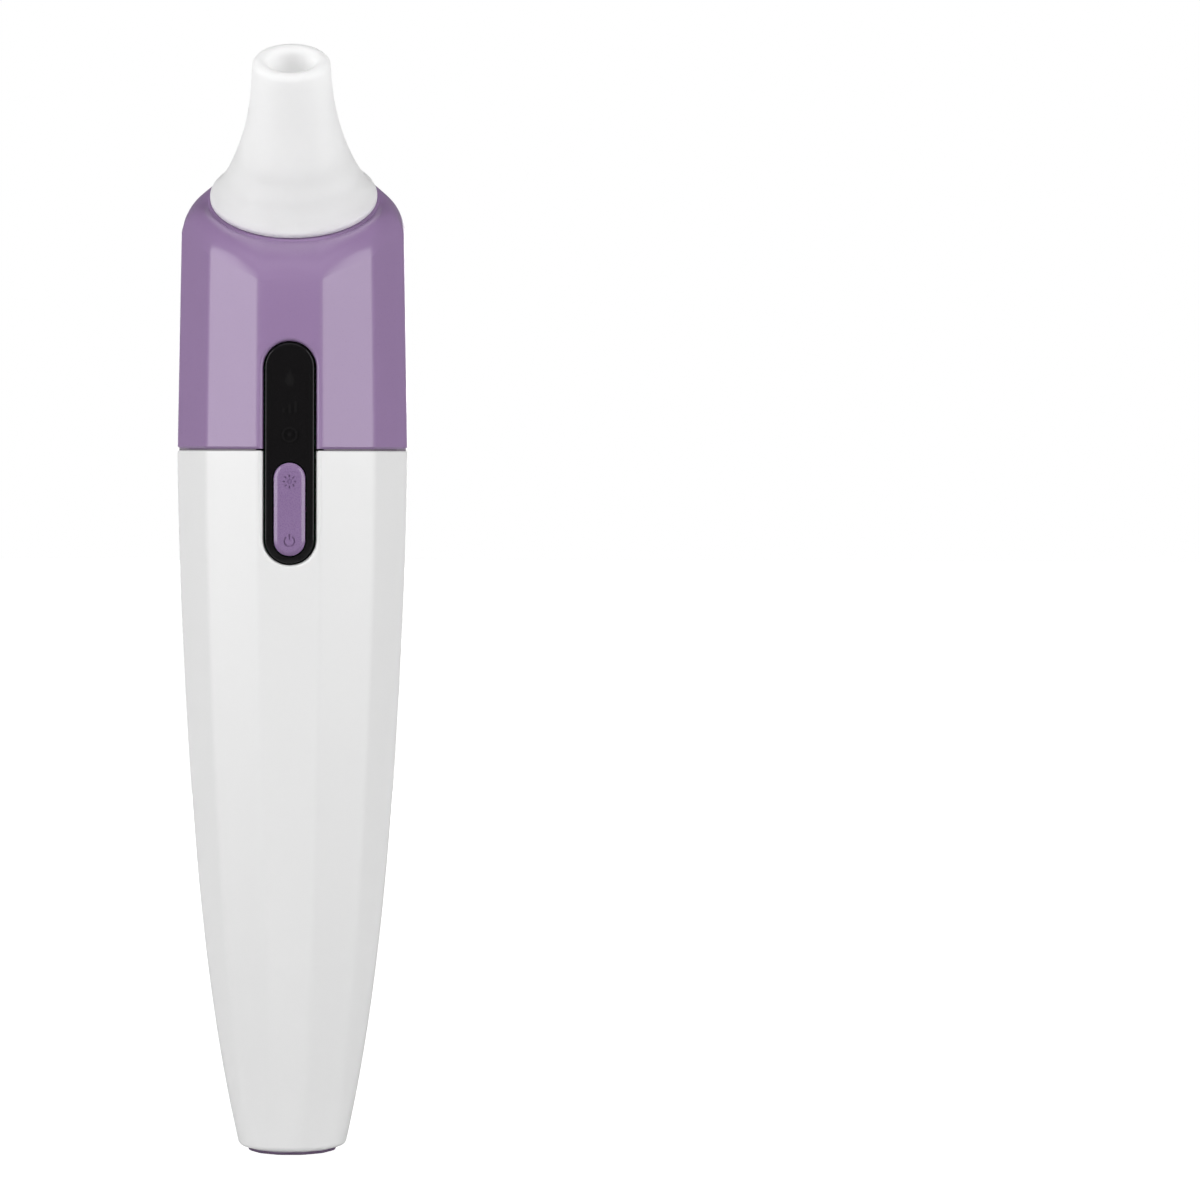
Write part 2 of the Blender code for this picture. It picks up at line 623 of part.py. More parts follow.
def make_pump():
    housing = [(PUMP_RADIUS, PUMP_LOW_Z), (PUMP_RADIUS, PUMP_HIGH_Z), (9.7, PUMP_HIGH_Z),
               (9.7, 111.4), (4.0, 111.4), (4.0, PUMP_LOW_Z)]
    add_object("pump_housing", turned(housing, 32, 0.0, PUMP_Y), "black")
    carrier = add_object("diaphragm_carrier", solid_disc(8.2, 119.4, 121.0, 28, 0.0, PUMP_Y), "rubber")
    plate = add_object("valve_plate", solid_disc(9.4, 128.6, 130.4, 28, 0.0, PUMP_Y), "white")
    for i in range(3):
        angle = math.radians(90.0 + 120.0 * i)
        x = 4.9 * math.cos(angle)
        y = PUMP_Y + 4.9 * math.sin(angle)
        boolean(carrier, cutter(f"diaphragm_cup_{i + 1}", solid_disc(2.6, 120.4, 127.0, 16, x, y)), "UNION")
        boolean(plate, cutter(f"valve_hole_{i + 1}", solid_disc(1.4, 127.0, 132.0, 12, x, y)))
    set_pivot(carrier, (0.0, PUMP_Y, CARRIER_PIVOT_Z))
    cover_profile = [(0.0, PUMP_HIGH_Z + GAP), (PUMP_RADIUS, PUMP_HIGH_Z + GAP), (PUMP_RADIUS, 134.6),
                     (PUMP_RADIUS - 1.0, 135.6), (0.0, 135.6)]
    cover = add_object("pump_cover", turned(cover_profile, 32, 0.0, PUMP_Y), "black")
    barb = [(0.0, 135.0), (2.1, 135.0), (2.1, 139.6), (2.6, 140.0), (2.0, 142.0), (0.0, 142.0)]
    boolean(cover, cutter("inlet_barb", turned(barb, 16, 0.0, INLET_Y)), "UNION")
    boolean(cover, cutter("outlet_spigot", solid_disc(1.9, 135.0, 139.0, 16, 0.0, -3.5)), "UNION")
    boolean(cover, cutter("inlet_bore", solid_disc(1.2, 130.0, 143.0, 12, 0.0, INLET_Y)))
    boolean(cover, cutter("outlet_bore", solid_disc(1.1, 130.0, 143.0, 12, 0.0, -3.5)))


def curve_point(a, b, c, d, t):
    u = 1 - t
    return a * u ** 3 + b * 3 * u * u * t + c * 3 * u * t * t + d * t ** 3


def make_suction_hose():
    """Silicone hose from the spigot of the slanted seat down to the pump inlet."""
    down = seat_matrix().to_3x3() @ Vector((0.0, 0.0, -1.0))
    start = Vector((0.0, 0.0, SEAT_Z)) + down * 5.2
    end = Vector((0.0, INLET_Y, 137.4))
    control = (start, start + down * 8.0, end + Vector((0.0, 0.0, 9.0)), end)
    bm = bmesh.new()
    outer, inner = [], []
    steps = 12
    for i in range(steps + 1):
        here = curve_point(*control, i / steps)
        ahead = curve_point(*control, min(1.0, (i + 0.1) / steps))
        behind = curve_point(*control, max(0.0, (i - 0.1) / steps))
        along = (ahead - behind).normalized()
        across = Vector((1.0, 0.0, 0.0))
        up = along.cross(across)
        for radius, rings in ((4.4, outer), (3.3, inner)):
            rings.append(ring(bm, [here + across * radius * math.cos(math.tau * k / 16)
                                   + up * radius * math.sin(math.tau * k / 16) for k in range(16)]))
    join_rings(bm, outer + list(reversed(inner)), closed=True)
    add_object("suction_hose", bm, "silicone")


def make_chassis():
    """Spine with half-round ribs that hold the cell, the motor and the pump."""
    outline = [(8.2, 24.0), (9.6, 24.0), (9.6, 80.0), (14.4, 84.0), (14.4, 139.0), (13.1, 139.0),
               (13.1, 84.6), (8.2, 80.6)]
    spine = prism(outline, lambda p: (-4.2, p[0], p[1]), lambda p: (4.2, p[0], p[1]))
    chassis = add_object("chassis", spine, "white")
    ribs = [(CELL_Y, CELL_RADIUS + GAP, 10.6, z) for z in (33.0, 52.0, 71.0)]
    ribs += [(PUMP_Y, MOTOR_RADIUS + 1.6, 12.6, z) for z in (92.0, 103.0)]
    ribs.append((PUMP_Y, PUMP_RADIUS + GAP, 12.8, 122.0))
    for i, (centre, inner, outer, z) in enumerate(ribs):
        boolean(chassis, cutter(f"chassis_rib_{i + 1}", half_rib(centre, inner, outer, z)), "UNION")
    shelf = box((-6.0, -7.0, 25.0), (6.0, 9.0, 26.6))
    boolean(chassis, cutter("cell_shelf", shelf), "UNION")


def half_rib(centre, inner, outer, z):
    """C-shaped rib open to the front; its ends stop a little past the widest point."""
    bm = bmesh.new()
    steps = 12
    loops = []
    for i in range(steps + 1):
        angle = math.radians(-12.0 + 204.0 * i / steps)
        loops.append([bm.verts.new((r * math.cos(angle), centre + r * math.sin(angle), h))
                      for r, h in ((inner, z), (outer, z), (outer, z + 1.8), (inner, z + 1.8))])
    join_rings(bm, loops)
    bm.faces.new(loops[0])
    bm.faces.new(loops[-1])
    return bm


# ---------------------------------------------------------------- power

def make_battery():
    profile = [(0.0, CELL_LOW_Z), (CELL_RADIUS - 0.5, CELL_LOW_Z), (CELL_RADIUS, CELL_LOW_Z + 0.5),
               (CELL_RADIUS, CELL_HIGH_Z - 2.2), (CELL_RADIUS - 0.4, CELL_HIGH_Z - 1.7),
               (CELL_RADIUS, CELL_HIGH_Z - 1.2), (CELL_RADIUS - 0.5, CELL_HIGH_Z - 0.7),
               (3.4, CELL_HIGH_Z - 0.7), (3.0, CELL_HIGH_Z), (0.0, CELL_HIGH_Z)]
    add_object("battery_cell", turned(profile, 32, 0.0, CELL_Y), "cell")
    add_object("cell_tab_bottom", box((-3.0, CELL_Y - 2.0, 27.0), (3.0, CELL_Y + 2.0, 27.3)), "steel")
    add_object("cell_tab_top", box((-2.0, CELL_Y - 2.0, 78.4), (2.0, CELL_Y + 2.0, 78.8)), "steel")


def make_usb_inlet():
    outline = stadium(USB_HALF_DEPTH, USB_HALF_WIDTH, 6)
    inner = stadium(USB_HALF_DEPTH - USB_WALL, USB_HALF_WIDTH - USB_WALL, 6)
    bm = bmesh.new()
    rings = [ring(bm, [(p[1], p[0], z) for p in points]) for points, z in
             ((outline, USB_LOW_Z), (outline, USB_HIGH_Z), (inner, USB_HIGH_Z), (inner, USB_LOW_Z))]
    join_rings(bm, rings, closed=True)
    add_object("usb_c_shell", bm, "steel")
    tongue = add_object("usb_c_tongue", box((-3.3, -0.35, 1.6), (3.3, 0.35, 7.4)), "black")
    block = box((-3.6, -1.05, 6.9), (3.6, 1.05, 8.0))
    boolean(tongue, cutter("usb_c_block", block), "UNION")


def make_charge_board():
    add_object("charge_board", box((-5.0, 1.95, 5.6), (5.0, 2.95, 21.5)), "board")
    add_object("charge_chip", box((-1.6, 3.1, 12.5), (1.6, 4.0, 16.5)), "black")


def make_lead(name, points, colour):
    """Insulated wire along a smooth curve through the given points."""
    curve = bpy.data.curves.new(name, "CURVE")
    curve.dimensions = "3D"
    curve.bevel_depth = 0.55 * MM
    curve.bevel_resolution = 1
    curve.use_fill_caps = True
    spline = curve.splines.new("POLY")
    path = smooth_path([Vector(p) for p in points], 5)
    spline.points.add(len(path) - 1)
    for point, place in zip(spline.points, path):
        point.co = (*(place * MM), 1.0)
    own = material(colour).copy()
    own.name = name
    curve.materials.append(own)
    bpy.context.scene.collection.objects.link(bpy.data.objects.new(name, curve))


def smooth_path(points, steps):
    """Catmull-Rom curve through points."""
    padded = [points[0] * 2 - points[1]] + points + [points[-1] * 2 - points[-2]]
    path = []
    for a, b, c, d in zip(padded, padded[1:], padded[2:], padded[3:]):
        for i in range(steps):
            t = i / steps
            path.append(0.5 * (b * 2 + (c - a) * t + (a * 2 - b * 5 + c * 4 - d) * t * t
                               + (b * 3 - a - c * 3 + d) * t ** 3))
    path.append(points[-1])
    return path


def make_leads():
    make_lead("lead_cell_negative", [(-3.6, 2.4, 22.3), (-7.0, 5.2, 23.4), (-8.2, 5.6, 27.0),
                                     (-8.4, 4.6, 31.0)], "lead_black")
    make_lead("lead_cell_positive", [(0.0, -5.2, 79.6), (-2.0, -9.4, 84.0), (-3.0, -11.4, 90.0),
                                     (-3.0, -11.9, 98.0)], "lead_red")
    make_lead("lead_motor_red", [(4.0, 0.0, 83.4), (6.5, -5.5, 82.8), (6.2, -10.6, 89.0),
                                 (4.6, -12.0, 99.0)], "lead_red")
    make_lead("lead_motor_black", [(-4.0, 2.0, 83.4), (-7.6, -4.0, 82.8), (-7.4, -10.0, 89.0),
                                   (-5.0, -12.0, 99.0)], "lead_black")


# ---------------------------------------------------------------- build

def main():
    clear_scene()
    window = window_cutter()
    make_handle_shell(window)
    make_head_housing(window)
    make_coupling_ring(window)
    make_bottom_cap()
    make_suction_probe()
    make_seal_ring()
    make_foam_filter_ring()
    make_filter_socket()
    make_socket_screws()
    make_head_leds()
    make_display_lens()
    make_lens_frame()
    make_rocker_button()
    make_switches()
    make_main_board()
    make_motor()
    make_motor_shaft()
    make_pump()
    make_suction_hose()
    make_chassis()
    make_battery()
    make_usb_inlet()
    make_charge_board()
    make_leads()


main()
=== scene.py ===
"""Looks of the blackhead vacuum extractor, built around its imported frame.

Shapes are made here in millimetres and become metres in add_piece; lights, camera and floor are
placed in metres. The window faces -Y and the column stands on the origin. Heights marked "above
the seat" run along the probe's slanted axis.
"""
import json
import math

import bmesh
import bpy
from mathutils import Matrix, Vector, noise


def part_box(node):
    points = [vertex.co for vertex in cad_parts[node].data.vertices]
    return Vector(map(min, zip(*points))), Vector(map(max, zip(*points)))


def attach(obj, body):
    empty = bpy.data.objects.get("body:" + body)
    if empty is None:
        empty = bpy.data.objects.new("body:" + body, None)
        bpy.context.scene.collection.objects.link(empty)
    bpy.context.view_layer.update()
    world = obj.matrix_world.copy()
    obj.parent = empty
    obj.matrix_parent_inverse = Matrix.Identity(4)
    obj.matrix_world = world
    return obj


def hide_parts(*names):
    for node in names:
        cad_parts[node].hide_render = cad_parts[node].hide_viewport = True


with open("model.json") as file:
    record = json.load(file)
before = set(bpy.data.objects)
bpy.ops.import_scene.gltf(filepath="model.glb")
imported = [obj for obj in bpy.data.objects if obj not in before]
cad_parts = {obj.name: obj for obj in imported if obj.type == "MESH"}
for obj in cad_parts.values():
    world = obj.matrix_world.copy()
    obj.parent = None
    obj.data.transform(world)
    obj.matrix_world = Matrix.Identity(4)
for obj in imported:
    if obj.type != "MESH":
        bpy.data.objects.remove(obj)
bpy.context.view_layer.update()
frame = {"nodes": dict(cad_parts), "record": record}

MM = 0.001


def node_box(name):
    """Lowest and highest corner of a CAD node, in millimetres."""
    low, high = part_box(name)
    return Vector(low) / MM, Vector(high) / MM


# ---------------------------------------------------------------- sizes in millimetres

SIDES = 12
SIDE_ANGLE = math.tau / SIDES
HANDLE_LOW, HANDLE_HIGH = node_box("handle_shell")
HEAD_LOW, _ = node_box("head_housing")
_, CAP_HIGH = node_box("bottom_cap")
LENS_LOW, LENS_HIGH = node_box("display_lens")
ROCKER_LOW, ROCKER_HIGH = node_box("rocker_button")
SEAL_LOW, SEAL_HIGH = node_box("probe_seal_ring")

SEAM_Z = (HANDLE_HIGH.z + HEAD_LOW.z) / 2
SEAM_FLAT = HANDLE_HIGH.x
SEAM_CHAMFER = 0.35
HEAD_TAPER = 0.018
HEAD_EDGE_RADIUS = 2.4
HANDLE_BELLY, HANDLE_BELLY_POWER = 7.52, 1.6
HANDLE_TOE, HANDLE_TOE_POWER = 3.35, 5
FOOT_SOFT_HEIGHT = 70.0
FOOT_EDGE_GROWTH = 7.0
FOOT_EDGE_RADIUS = 3.0
WALL = 1.6
GAP = 0.3
CAP_RIM = 0.5
SMOOTH_ANGLE = 32.0

JOINTS = {joint["name"]: joint for joint in frame["record"]["behaviour"]["joints"]}
PROBE_AXIS = Vector(JOINTS["probe_pull"]["axis"]).normalized()
SEAT_TILT = math.atan2(-PROBE_AXIS.y, PROBE_AXIS.z)
SEAL_HEIGHT = 1.0
SEAT_CENTRE = (SEAL_LOW + SEAL_HIGH) / 2 - PROBE_AXIS * SEAL_HEIGHT
SEAT = Matrix.Translation(SEAT_CENTRE) @ Matrix.Rotation(SEAT_TILT, 4, "X")
SEAT_RADIUS = 14.5
SEAT_HOLE_RADIUS = 10.6
SEAT_THICKNESS = 2.0
SEAT_RAISE = 0.14
# The seat's rolled rim, as (inset, drop) from the edge of its flat.
SEAT_ROLL = ((0.12, 0.04), (0.3, 0.0))
SEAT_ROLL_DROP = 0.15
SEAT_HOLE_EASE = 0.25
SEAT_HOLE_DROP = 0.1
SHOULDER_SIDE_Z = 156.5
SHOULDER_FRONT_DROP = 0.0263
SHOULDER_BACK_RISE = 0.2
SHOULDER_KNEE_RISE = 5.0
SHOULDER_KNEE_INSET = 0.6
SHOULDER_INNER_DROP = 0.4
SHOULDER_STEPS = 26
STRAIGHT_TOP = 145.0

WINDOW_FILLET = 0.7
LENS_PROUD = 0.12
ROCKER_HALF_WIDTH = 2.6
ROCKER_PROUD = 0.4
ROCKER_PIVOT = Vector(JOINTS["rocker_tilt"]["pos_m"]) / MM


# ---------------------------------------------------------------- mesh helpers

def add_piece(name, bm, material, body="body", replaces=(),
              smooth_angle=SMOOTH_ANGLE):
    """Turn a bmesh in millimetres into a piece in metres that rides on a body."""
    bmesh.ops.recalc_face_normals(bm, faces=bm.faces)
    bmesh.ops.scale(bm, vec=(MM, MM, MM), verts=bm.verts)
    mesh = bpy.data.meshes.new(name)
    bm.to_mesh(mesh)
    bm.free()
    piece = bpy.data.objects.new(name, mesh)
    bpy.context.scene.collection.objects.link(piece)
    mesh.materials.append(material)
    mesh.shade_smooth()
    mesh.set_sharp_from_angle(angle=math.radians(smooth_angle))
    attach(piece, body)
    if replaces:
        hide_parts(*replaces)
    return piece


def ring(bm, points):
    """One loop of new vertices."""
    return [bm.verts.new(p) for p in points]


def join_rings(bm, rings, closed=False):
    """Skin neighbouring loops with quads; a closed skin also joins the last to the first."""
    pairs = list(zip(rings, rings[1:]))
    if closed:
        pairs.append((rings[-1], rings[0]))
    count = len(rings[0])
    for low, high in pairs:
        for i in range(count):
            j = (i + 1) % count
            bm.faces.new((low[i], low[j], high[j], high[i]))


def turned(profile, count, matrix=None):
    """Solid of revolution about Z from (radius, height) points, shut flat at a zero radius."""
    bm = bmesh.new()
    rings = []
    for radius, height in profile:
        if radius > 0:
            rings.append(ring(bm, [(radius * math.cos(math.tau * i / count),
                                    radius * math.sin(math.tau * i / count), height)
                                   for i in range(count)]))
    capped = any(radius <= 0 for radius, _ in profile)
    join_rings(bm, rings, closed=not capped)
    if capped:
        bm.faces.new(rings[0])
        bm.faces.new(rings[-1])
    if matrix:
        bm.transform(matrix)
    return bm


def arc(centre_r, centre_h, radius, start, end, steps):
    """Profile points along an arc, angles in degrees from the outward direction."""
    points = []
    for i in range(steps + 1):
        angle = math.radians(start + (end - start) * i / steps)
        points.append((centre_r + radius * math.cos(angle), centre_h + radius * math.sin(angle)))
    return points


def stadium(half_width, half_length, steps):
    """Outline points (across, along) of a slot with round ends."""
    centre = half_length - half_width
    points = []
    for end in (0, 1):
        for i in range(steps + 1):
            angle = math.pi * (i / steps + end)
            along = centre if end == 0 else -centre
            points.append((half_width * math.cos(angle), along + half_width * math.sin(angle)))
    return points


def rod(radius, low, high, count, matrix):
    """Round bar along Z between two heights, then placed."""
    return turned([(0.0, low), (radius, low), (radius, high), (0.0, high)], count, matrix)


def prism(outline, to_low, to_high):
    """Solid between two copies of an outline, each placed by its own function."""
    bm = bmesh.new()
    low = ring(bm, [to_low(p) for p in outline])
    high = ring(bm, [to_high(p) for p in outline])
    join_rings(bm, [low, high])
    bm.faces.new(low)
    bm.faces.new(high)
    return bm


def cut(piece, bm, operation="DIFFERENCE"):
    """Apply a boolean with a throw-away cutter given in millimetres."""
    bmesh.ops.recalc_face_normals(bm, faces=bm.faces)
    bmesh.ops.scale(bm, vec=(MM, MM, MM), verts=bm.verts)
    mesh = bpy.data.meshes.new("cutter")
    bm.to_mesh(mesh)
    bm.free()
    tool = bpy.data.objects.new("cutter", mesh)
    bpy.context.scene.collection.objects.link(tool)
    tool.matrix_world = Matrix.Identity(4)
    modifier = piece.modifiers.new("cut", "BOOLEAN")
    modifier.operation = operation
    modifier.object = tool
    modifier.solver = "EXACT"
    graph = bpy.context.evaluated_depsgraph_get()
    made = bpy.data.meshes.new_from_object(piece.evaluated_get(graph), depsgraph=graph)
    piece.modifiers.remove(modifier)
    old = piece.data
    piece.data = made
    bpy.data.objects.remove(tool, do_unlink=True)
    bpy.data.meshes.remove(mesh)
    bpy.data.meshes.remove(old)


def finish_cuts(piece, angle=SMOOTH_ANGLE):
    """Clean what booleans leave and set the shading again."""
    merge_distance = 0.0005 * MM
    bm = bmesh.new()
    bm.from_mesh(piece.data)
    bmesh.ops.remove_doubles(bm, verts=bm.verts, dist=merge_distance)
    bmesh.ops.dissolve_degenerate(bm, edges=bm.edges, dist=merge_distance)
    bm.to_mesh(piece.data)
    bm.free()
    piece.data.shade_smooth()
    piece.data.set_sharp_from_angle(angle=math.radians(angle))
    modifier = piece.modifiers.new("flat_faces", "WEIGHTED_NORMAL")
    modifier.keep_sharp = True


# ---------------------------------------------------------------- materials

DRIFT_MM = 22.0
GRAIN_HEIGHT_MM = 0.02
WHITE = (1.0, 1.0, 1.0, 1.0)

# The silicone's painted glow: (from, to) distances in millimetres and the strengths outside and
# inside.
THROAT_RADII = (5.6, 4.8)
THROAT_HEIGHTS = (25.8, 22.6)
GLOW_OUTSIDE, GLOW_INSIDE = 0.055, 0.165
SCATTER_MM = 3.5

FOAM_CELL_MM = 0.34


def new_material(name):
    """A material with its node tree and shader."""
    made = bpy.data.materials.new(name)
    made.use_nodes = True
    shader = made.node_tree.nodes["Principled BSDF"]
    return made, made.node_tree, shader


def noise_node(tree, scale_mm, detail=2.0, roughness=0.5):
    """Noise whose features are about scale_mm across."""
    coords = tree.nodes.new("ShaderNodeTexCoord")
    texture = tree.nodes.new("ShaderNodeTexNoise")
    texture.inputs["Scale"].default_value = 1.0 / (scale_mm * MM)
    texture.inputs["Detail"].default_value = detail
    texture.inputs["Roughness"].default_value = roughness
    tree.links.new(coords.outputs["Object"], texture.inputs["Vector"])
    return texture


def ramp_node(tree, from_low, from_high, to_low, to_high):
    """Clamped straight ramp from one range to another."""
    node = tree.nodes.new("ShaderNodeMapRange")
    node.inputs["From Min"].default_value = from_low
    node.inputs["From Max"].default_value = from_high
    node.inputs["To Min"].default_value = to_low
    node.inputs["To Max"].default_value = to_high
    return node


def remap(tree, source, low, high):
    """Spread the useful middle of a noise over a range."""
    node = ramp_node(tree, 0.25, 0.75, low, high)
    tree.links.new(source, node.inputs["Value"])
    return node.outputs["Result"]


def two_tone(tree, source, dark, light):
    """Mix of two colours by a source."""
    node = tree.nodes.new("ShaderNodeMix")
    node.data_type = "RGBA"
    node.inputs["A"].default_value = (*dark, 1.0)
    node.inputs["B"].default_value = (*light, 1.0)
    tree.links.new(source, node.inputs["Factor"])
    return node.outputs["Result"]


def add_bump(tree, shader, source, strength, height_mm):
    """Relief on the surface from a source."""
    bump = tree.nodes.new("ShaderNodeBump")
    bump.inputs["Strength"].default_value = strength
    bump.inputs["Distance"].default_value = height_mm * MM
    tree.links.new(source, bump.inputs["Height"])
    tree.links.new(bump.outputs["Normal"], shader.inputs["Normal"])


def moulded_plastic(name, dark, light, rough, grain_mm=0.25, grain=0.12, specular=0.5):
    """Plastic from a fine-textured mould: slight shade drift, grain and uneven gloss."""
    made, tree, shader = new_material(name)
    drift = noise_node(tree, DRIFT_MM, 3.0)
    fine = noise_node(tree, grain_mm, 3.0, 0.6)
    tree.links.new(two_tone(tree, drift.outputs["Fac"], dark, light), shader.inputs["Base Color"])
    tree.links.new(remap(tree, fine.outputs["Fac"], *rough), shader.inputs["Roughness"])
    add_bump(tree, shader, fine.outputs["Fac"], grain, GRAIN_HEIGHT_MM)
    shader.inputs["Specular IOR Level"].default_value = specular
    return made


def throat_glow(tree):
    """Emission strength of the silicone's painted glow: faint outside, stronger inside the probe's
    throat.
    """
    coords = tree.nodes.new("ShaderNodeTexCoord")
    local = tree.nodes.new("ShaderNodeMapping")
    local.vector_type = "TEXTURE"
    local.inputs["Location"].default_value = SEAT_CENTRE * MM
    local.inputs["Rotation"].default_value = (SEAT_TILT, 0.0, 0.0)
    flatten = tree.nodes.new("ShaderNodeVectorMath")
    flatten.operation = "MULTIPLY"
    flatten.inputs[1].default_value = (1.0, 1.0, 0.0)
    radius = tree.nodes.new("ShaderNodeVectorMath")
    radius.operation = "LENGTH"
    split = tree.nodes.new("ShaderNodeSeparateXYZ")
    within = ramp_node(tree, THROAT_RADII[0] * MM, THROAT_RADII[1] * MM, 0.0, 1.0)
    depth = ramp_node(tree, THROAT_HEIGHTS[0] * MM, THROAT_HEIGHTS[1] * MM, 0.0, 1.0)
    both = tree.nodes.new("ShaderNodeMath")
    both.operation = "MULTIPLY"
    glow = ramp_node(tree, 0.0, 1.0, GLOW_OUTSIDE, GLOW_INSIDE)
    tree.links.new(coords.outputs["Object"], local.inputs["Vector"])
    tree.links.new(local.outputs["Vector"], flatten.inputs[0])
    tree.links.new(local.outputs["Vector"], split.inputs["Vector"])
    tree.links.new(flatten.outputs["Vector"], radius.inputs[0])
    tree.links.new(radius.outputs["Value"], within.inputs["Value"])
    tree.links.new(split.outputs["Z"], depth.inputs["Value"])
    tree.links.new(within.outputs["Result"], both.inputs[0])
    tree.links.new(depth.outputs["Result"], both.inputs[1])
    tree.links.new(both.outputs["Value"], glow.inputs["Value"])
    return glow.outputs["Result"]


def silicone(name, colour):
    """Soft matt silicone with a fine surface bloom, deep scatter and a faint painted glow, which
    stands for the light its thin walls pass on."""
    made, tree, shader = new_material(name)
    bloom = noise_node(tree, 6.0, 4.0)
    fine = noise_node(tree, 0.18, 2.0)
    dark = tuple(c * 0.985 for c in colour)
    tree.links.new(two_tone(tree, bloom.outputs["Fac"], dark, colour), shader.inputs["Base Color"])
    tree.links.new(remap(tree, bloom.outputs["Fac"], 0.45, 0.58), shader.inputs["Roughness"])
    add_bump(tree, shader, fine.outputs["Fac"], 0.08, GRAIN_HEIGHT_MM)
    shader.inputs["Specular IOR Level"].default_value = 0.35
    shader.inputs["Subsurface Weight"].default_value = 1.0
    shader.inputs["Subsurface Radius"].default_value = (1.0, 1.0, 1.0)
    shader.inputs["Subsurface Scale"].default_value = SCATTER_MM * MM
    shader.inputs["Emission Color"].default_value = WHITE
    tree.links.new(throat_glow(tree), shader.inputs["Emission Strength"])
    return made


def metal(name, colour):
    """Drawn or plated metal with fine lines along Z."""
    brush_mm = 0.12
    made, tree, shader = new_material(name)
    coords = tree.nodes.new("ShaderNodeTexCoord")
    stretch = tree.nodes.new("ShaderNodeMapping")
    stretch.inputs["Scale"].default_value = (1.0, 1.0, 0.04)
    texture = tree.nodes.new("ShaderNodeTexNoise")
    texture.inputs["Scale"].default_value = 1.0 / (brush_mm * MM)
    texture.inputs["Detail"].default_value = 3.0
    tree.links.new(coords.outputs["Object"], stretch.inputs["Vector"])
    tree.links.new(stretch.outputs["Vector"], texture.inputs["Vector"])
    lines = texture.outputs["Fac"]
    dark = tuple(c * 0.85 for c in colour)
    tree.links.new(two_tone(tree, lines, dark, colour), shader.inputs["Base Color"])
    tree.links.new(remap(tree, lines, 0.22, 0.36), shader.inputs["Roughness"])
    add_bump(tree, shader, lines, 0.15, 0.01)
    shader.inputs["Metallic"].default_value = 1.0
    return made


def foam(name):
    """Open-cell foam: cells a third of a millimetre across, with painted shade darkening their
    hollows.
    """
    made, tree, shader = new_material(name)
    coords = tree.nodes.new("ShaderNodeTexCoord")
    cells = tree.nodes.new("ShaderNodeTexVoronoi")
    cells.inputs["Scale"].default_value = 1.0 / (FOAM_CELL_MM * MM)
    tree.links.new(coords.outputs["Object"], cells.inputs["Vector"])
    # Painted shade: the colour darkens towards the hollows of the same cell pattern that the bump
    # uses.
    depth = remap(tree, cells.outputs["Distance"], 1.0, 0.0)
    tree.links.new(two_tone(tree, depth, (0.80, 0.80, 0.79), (0.50, 0.50, 0.50)),
                   shader.inputs["Base Color"])
    add_bump(tree, shader, cells.outputs["Distance"], 0.7, 0.15)
    shader.inputs["Roughness"].default_value = 0.95
    return made


def circuit_board(name):
    """Green solder mask over faint copper tracks."""
    track_mm = 4.0
    made, tree, shader = new_material(name)
    coords = tree.nodes.new("ShaderNodeTexCoord")
    tracks = tree.nodes.new("ShaderNodeTexBrick")
    tracks.inputs["Scale"].default_value = 1.0 / (track_mm * MM)
    tracks.inputs["Color1"].default_value = (0.012, 0.12, 0.05, 1.0)
    tracks.inputs["Color2"].default_value = (0.014, 0.14, 0.06, 1.0)
    tracks.inputs["Mortar"].default_value = (0.03, 0.24, 0.11, 1.0)
    turn = tree.nodes.new("ShaderNodeMapping")
    turn.inputs["Rotation"].default_value = (math.pi / 2, 0.0, 0.0)
    tree.links.new(coords.outputs["Object"], turn.inputs["Vector"])
    tree.links.new(turn.outputs["Vector"], tracks.inputs["Vector"])
    tree.links.new(tracks.outputs["Color"], shader.inputs["Base Color"])
    add_bump(tree, shader, tracks.outputs["Fac"], 0.2, 0.03)
    shader.inputs["Roughness"].default_value = 0.35
    return made


def clear_plastic(name):
    """Slightly cloudy light-guide plastic."""
    made, tree, shader = new_material(name)
    fine = noise_node(tree, 3.0)
    tree.links.new(remap(tree, fine.outputs["Fac"], 0.04, 0.12), shader.inputs["Roughness"])
    shader.inputs["Base Color"].default_value = (0.93, 0.96, 1.0, 1.0)
    shader.inputs["Transmission Weight"].default_value = 0.8
    return made


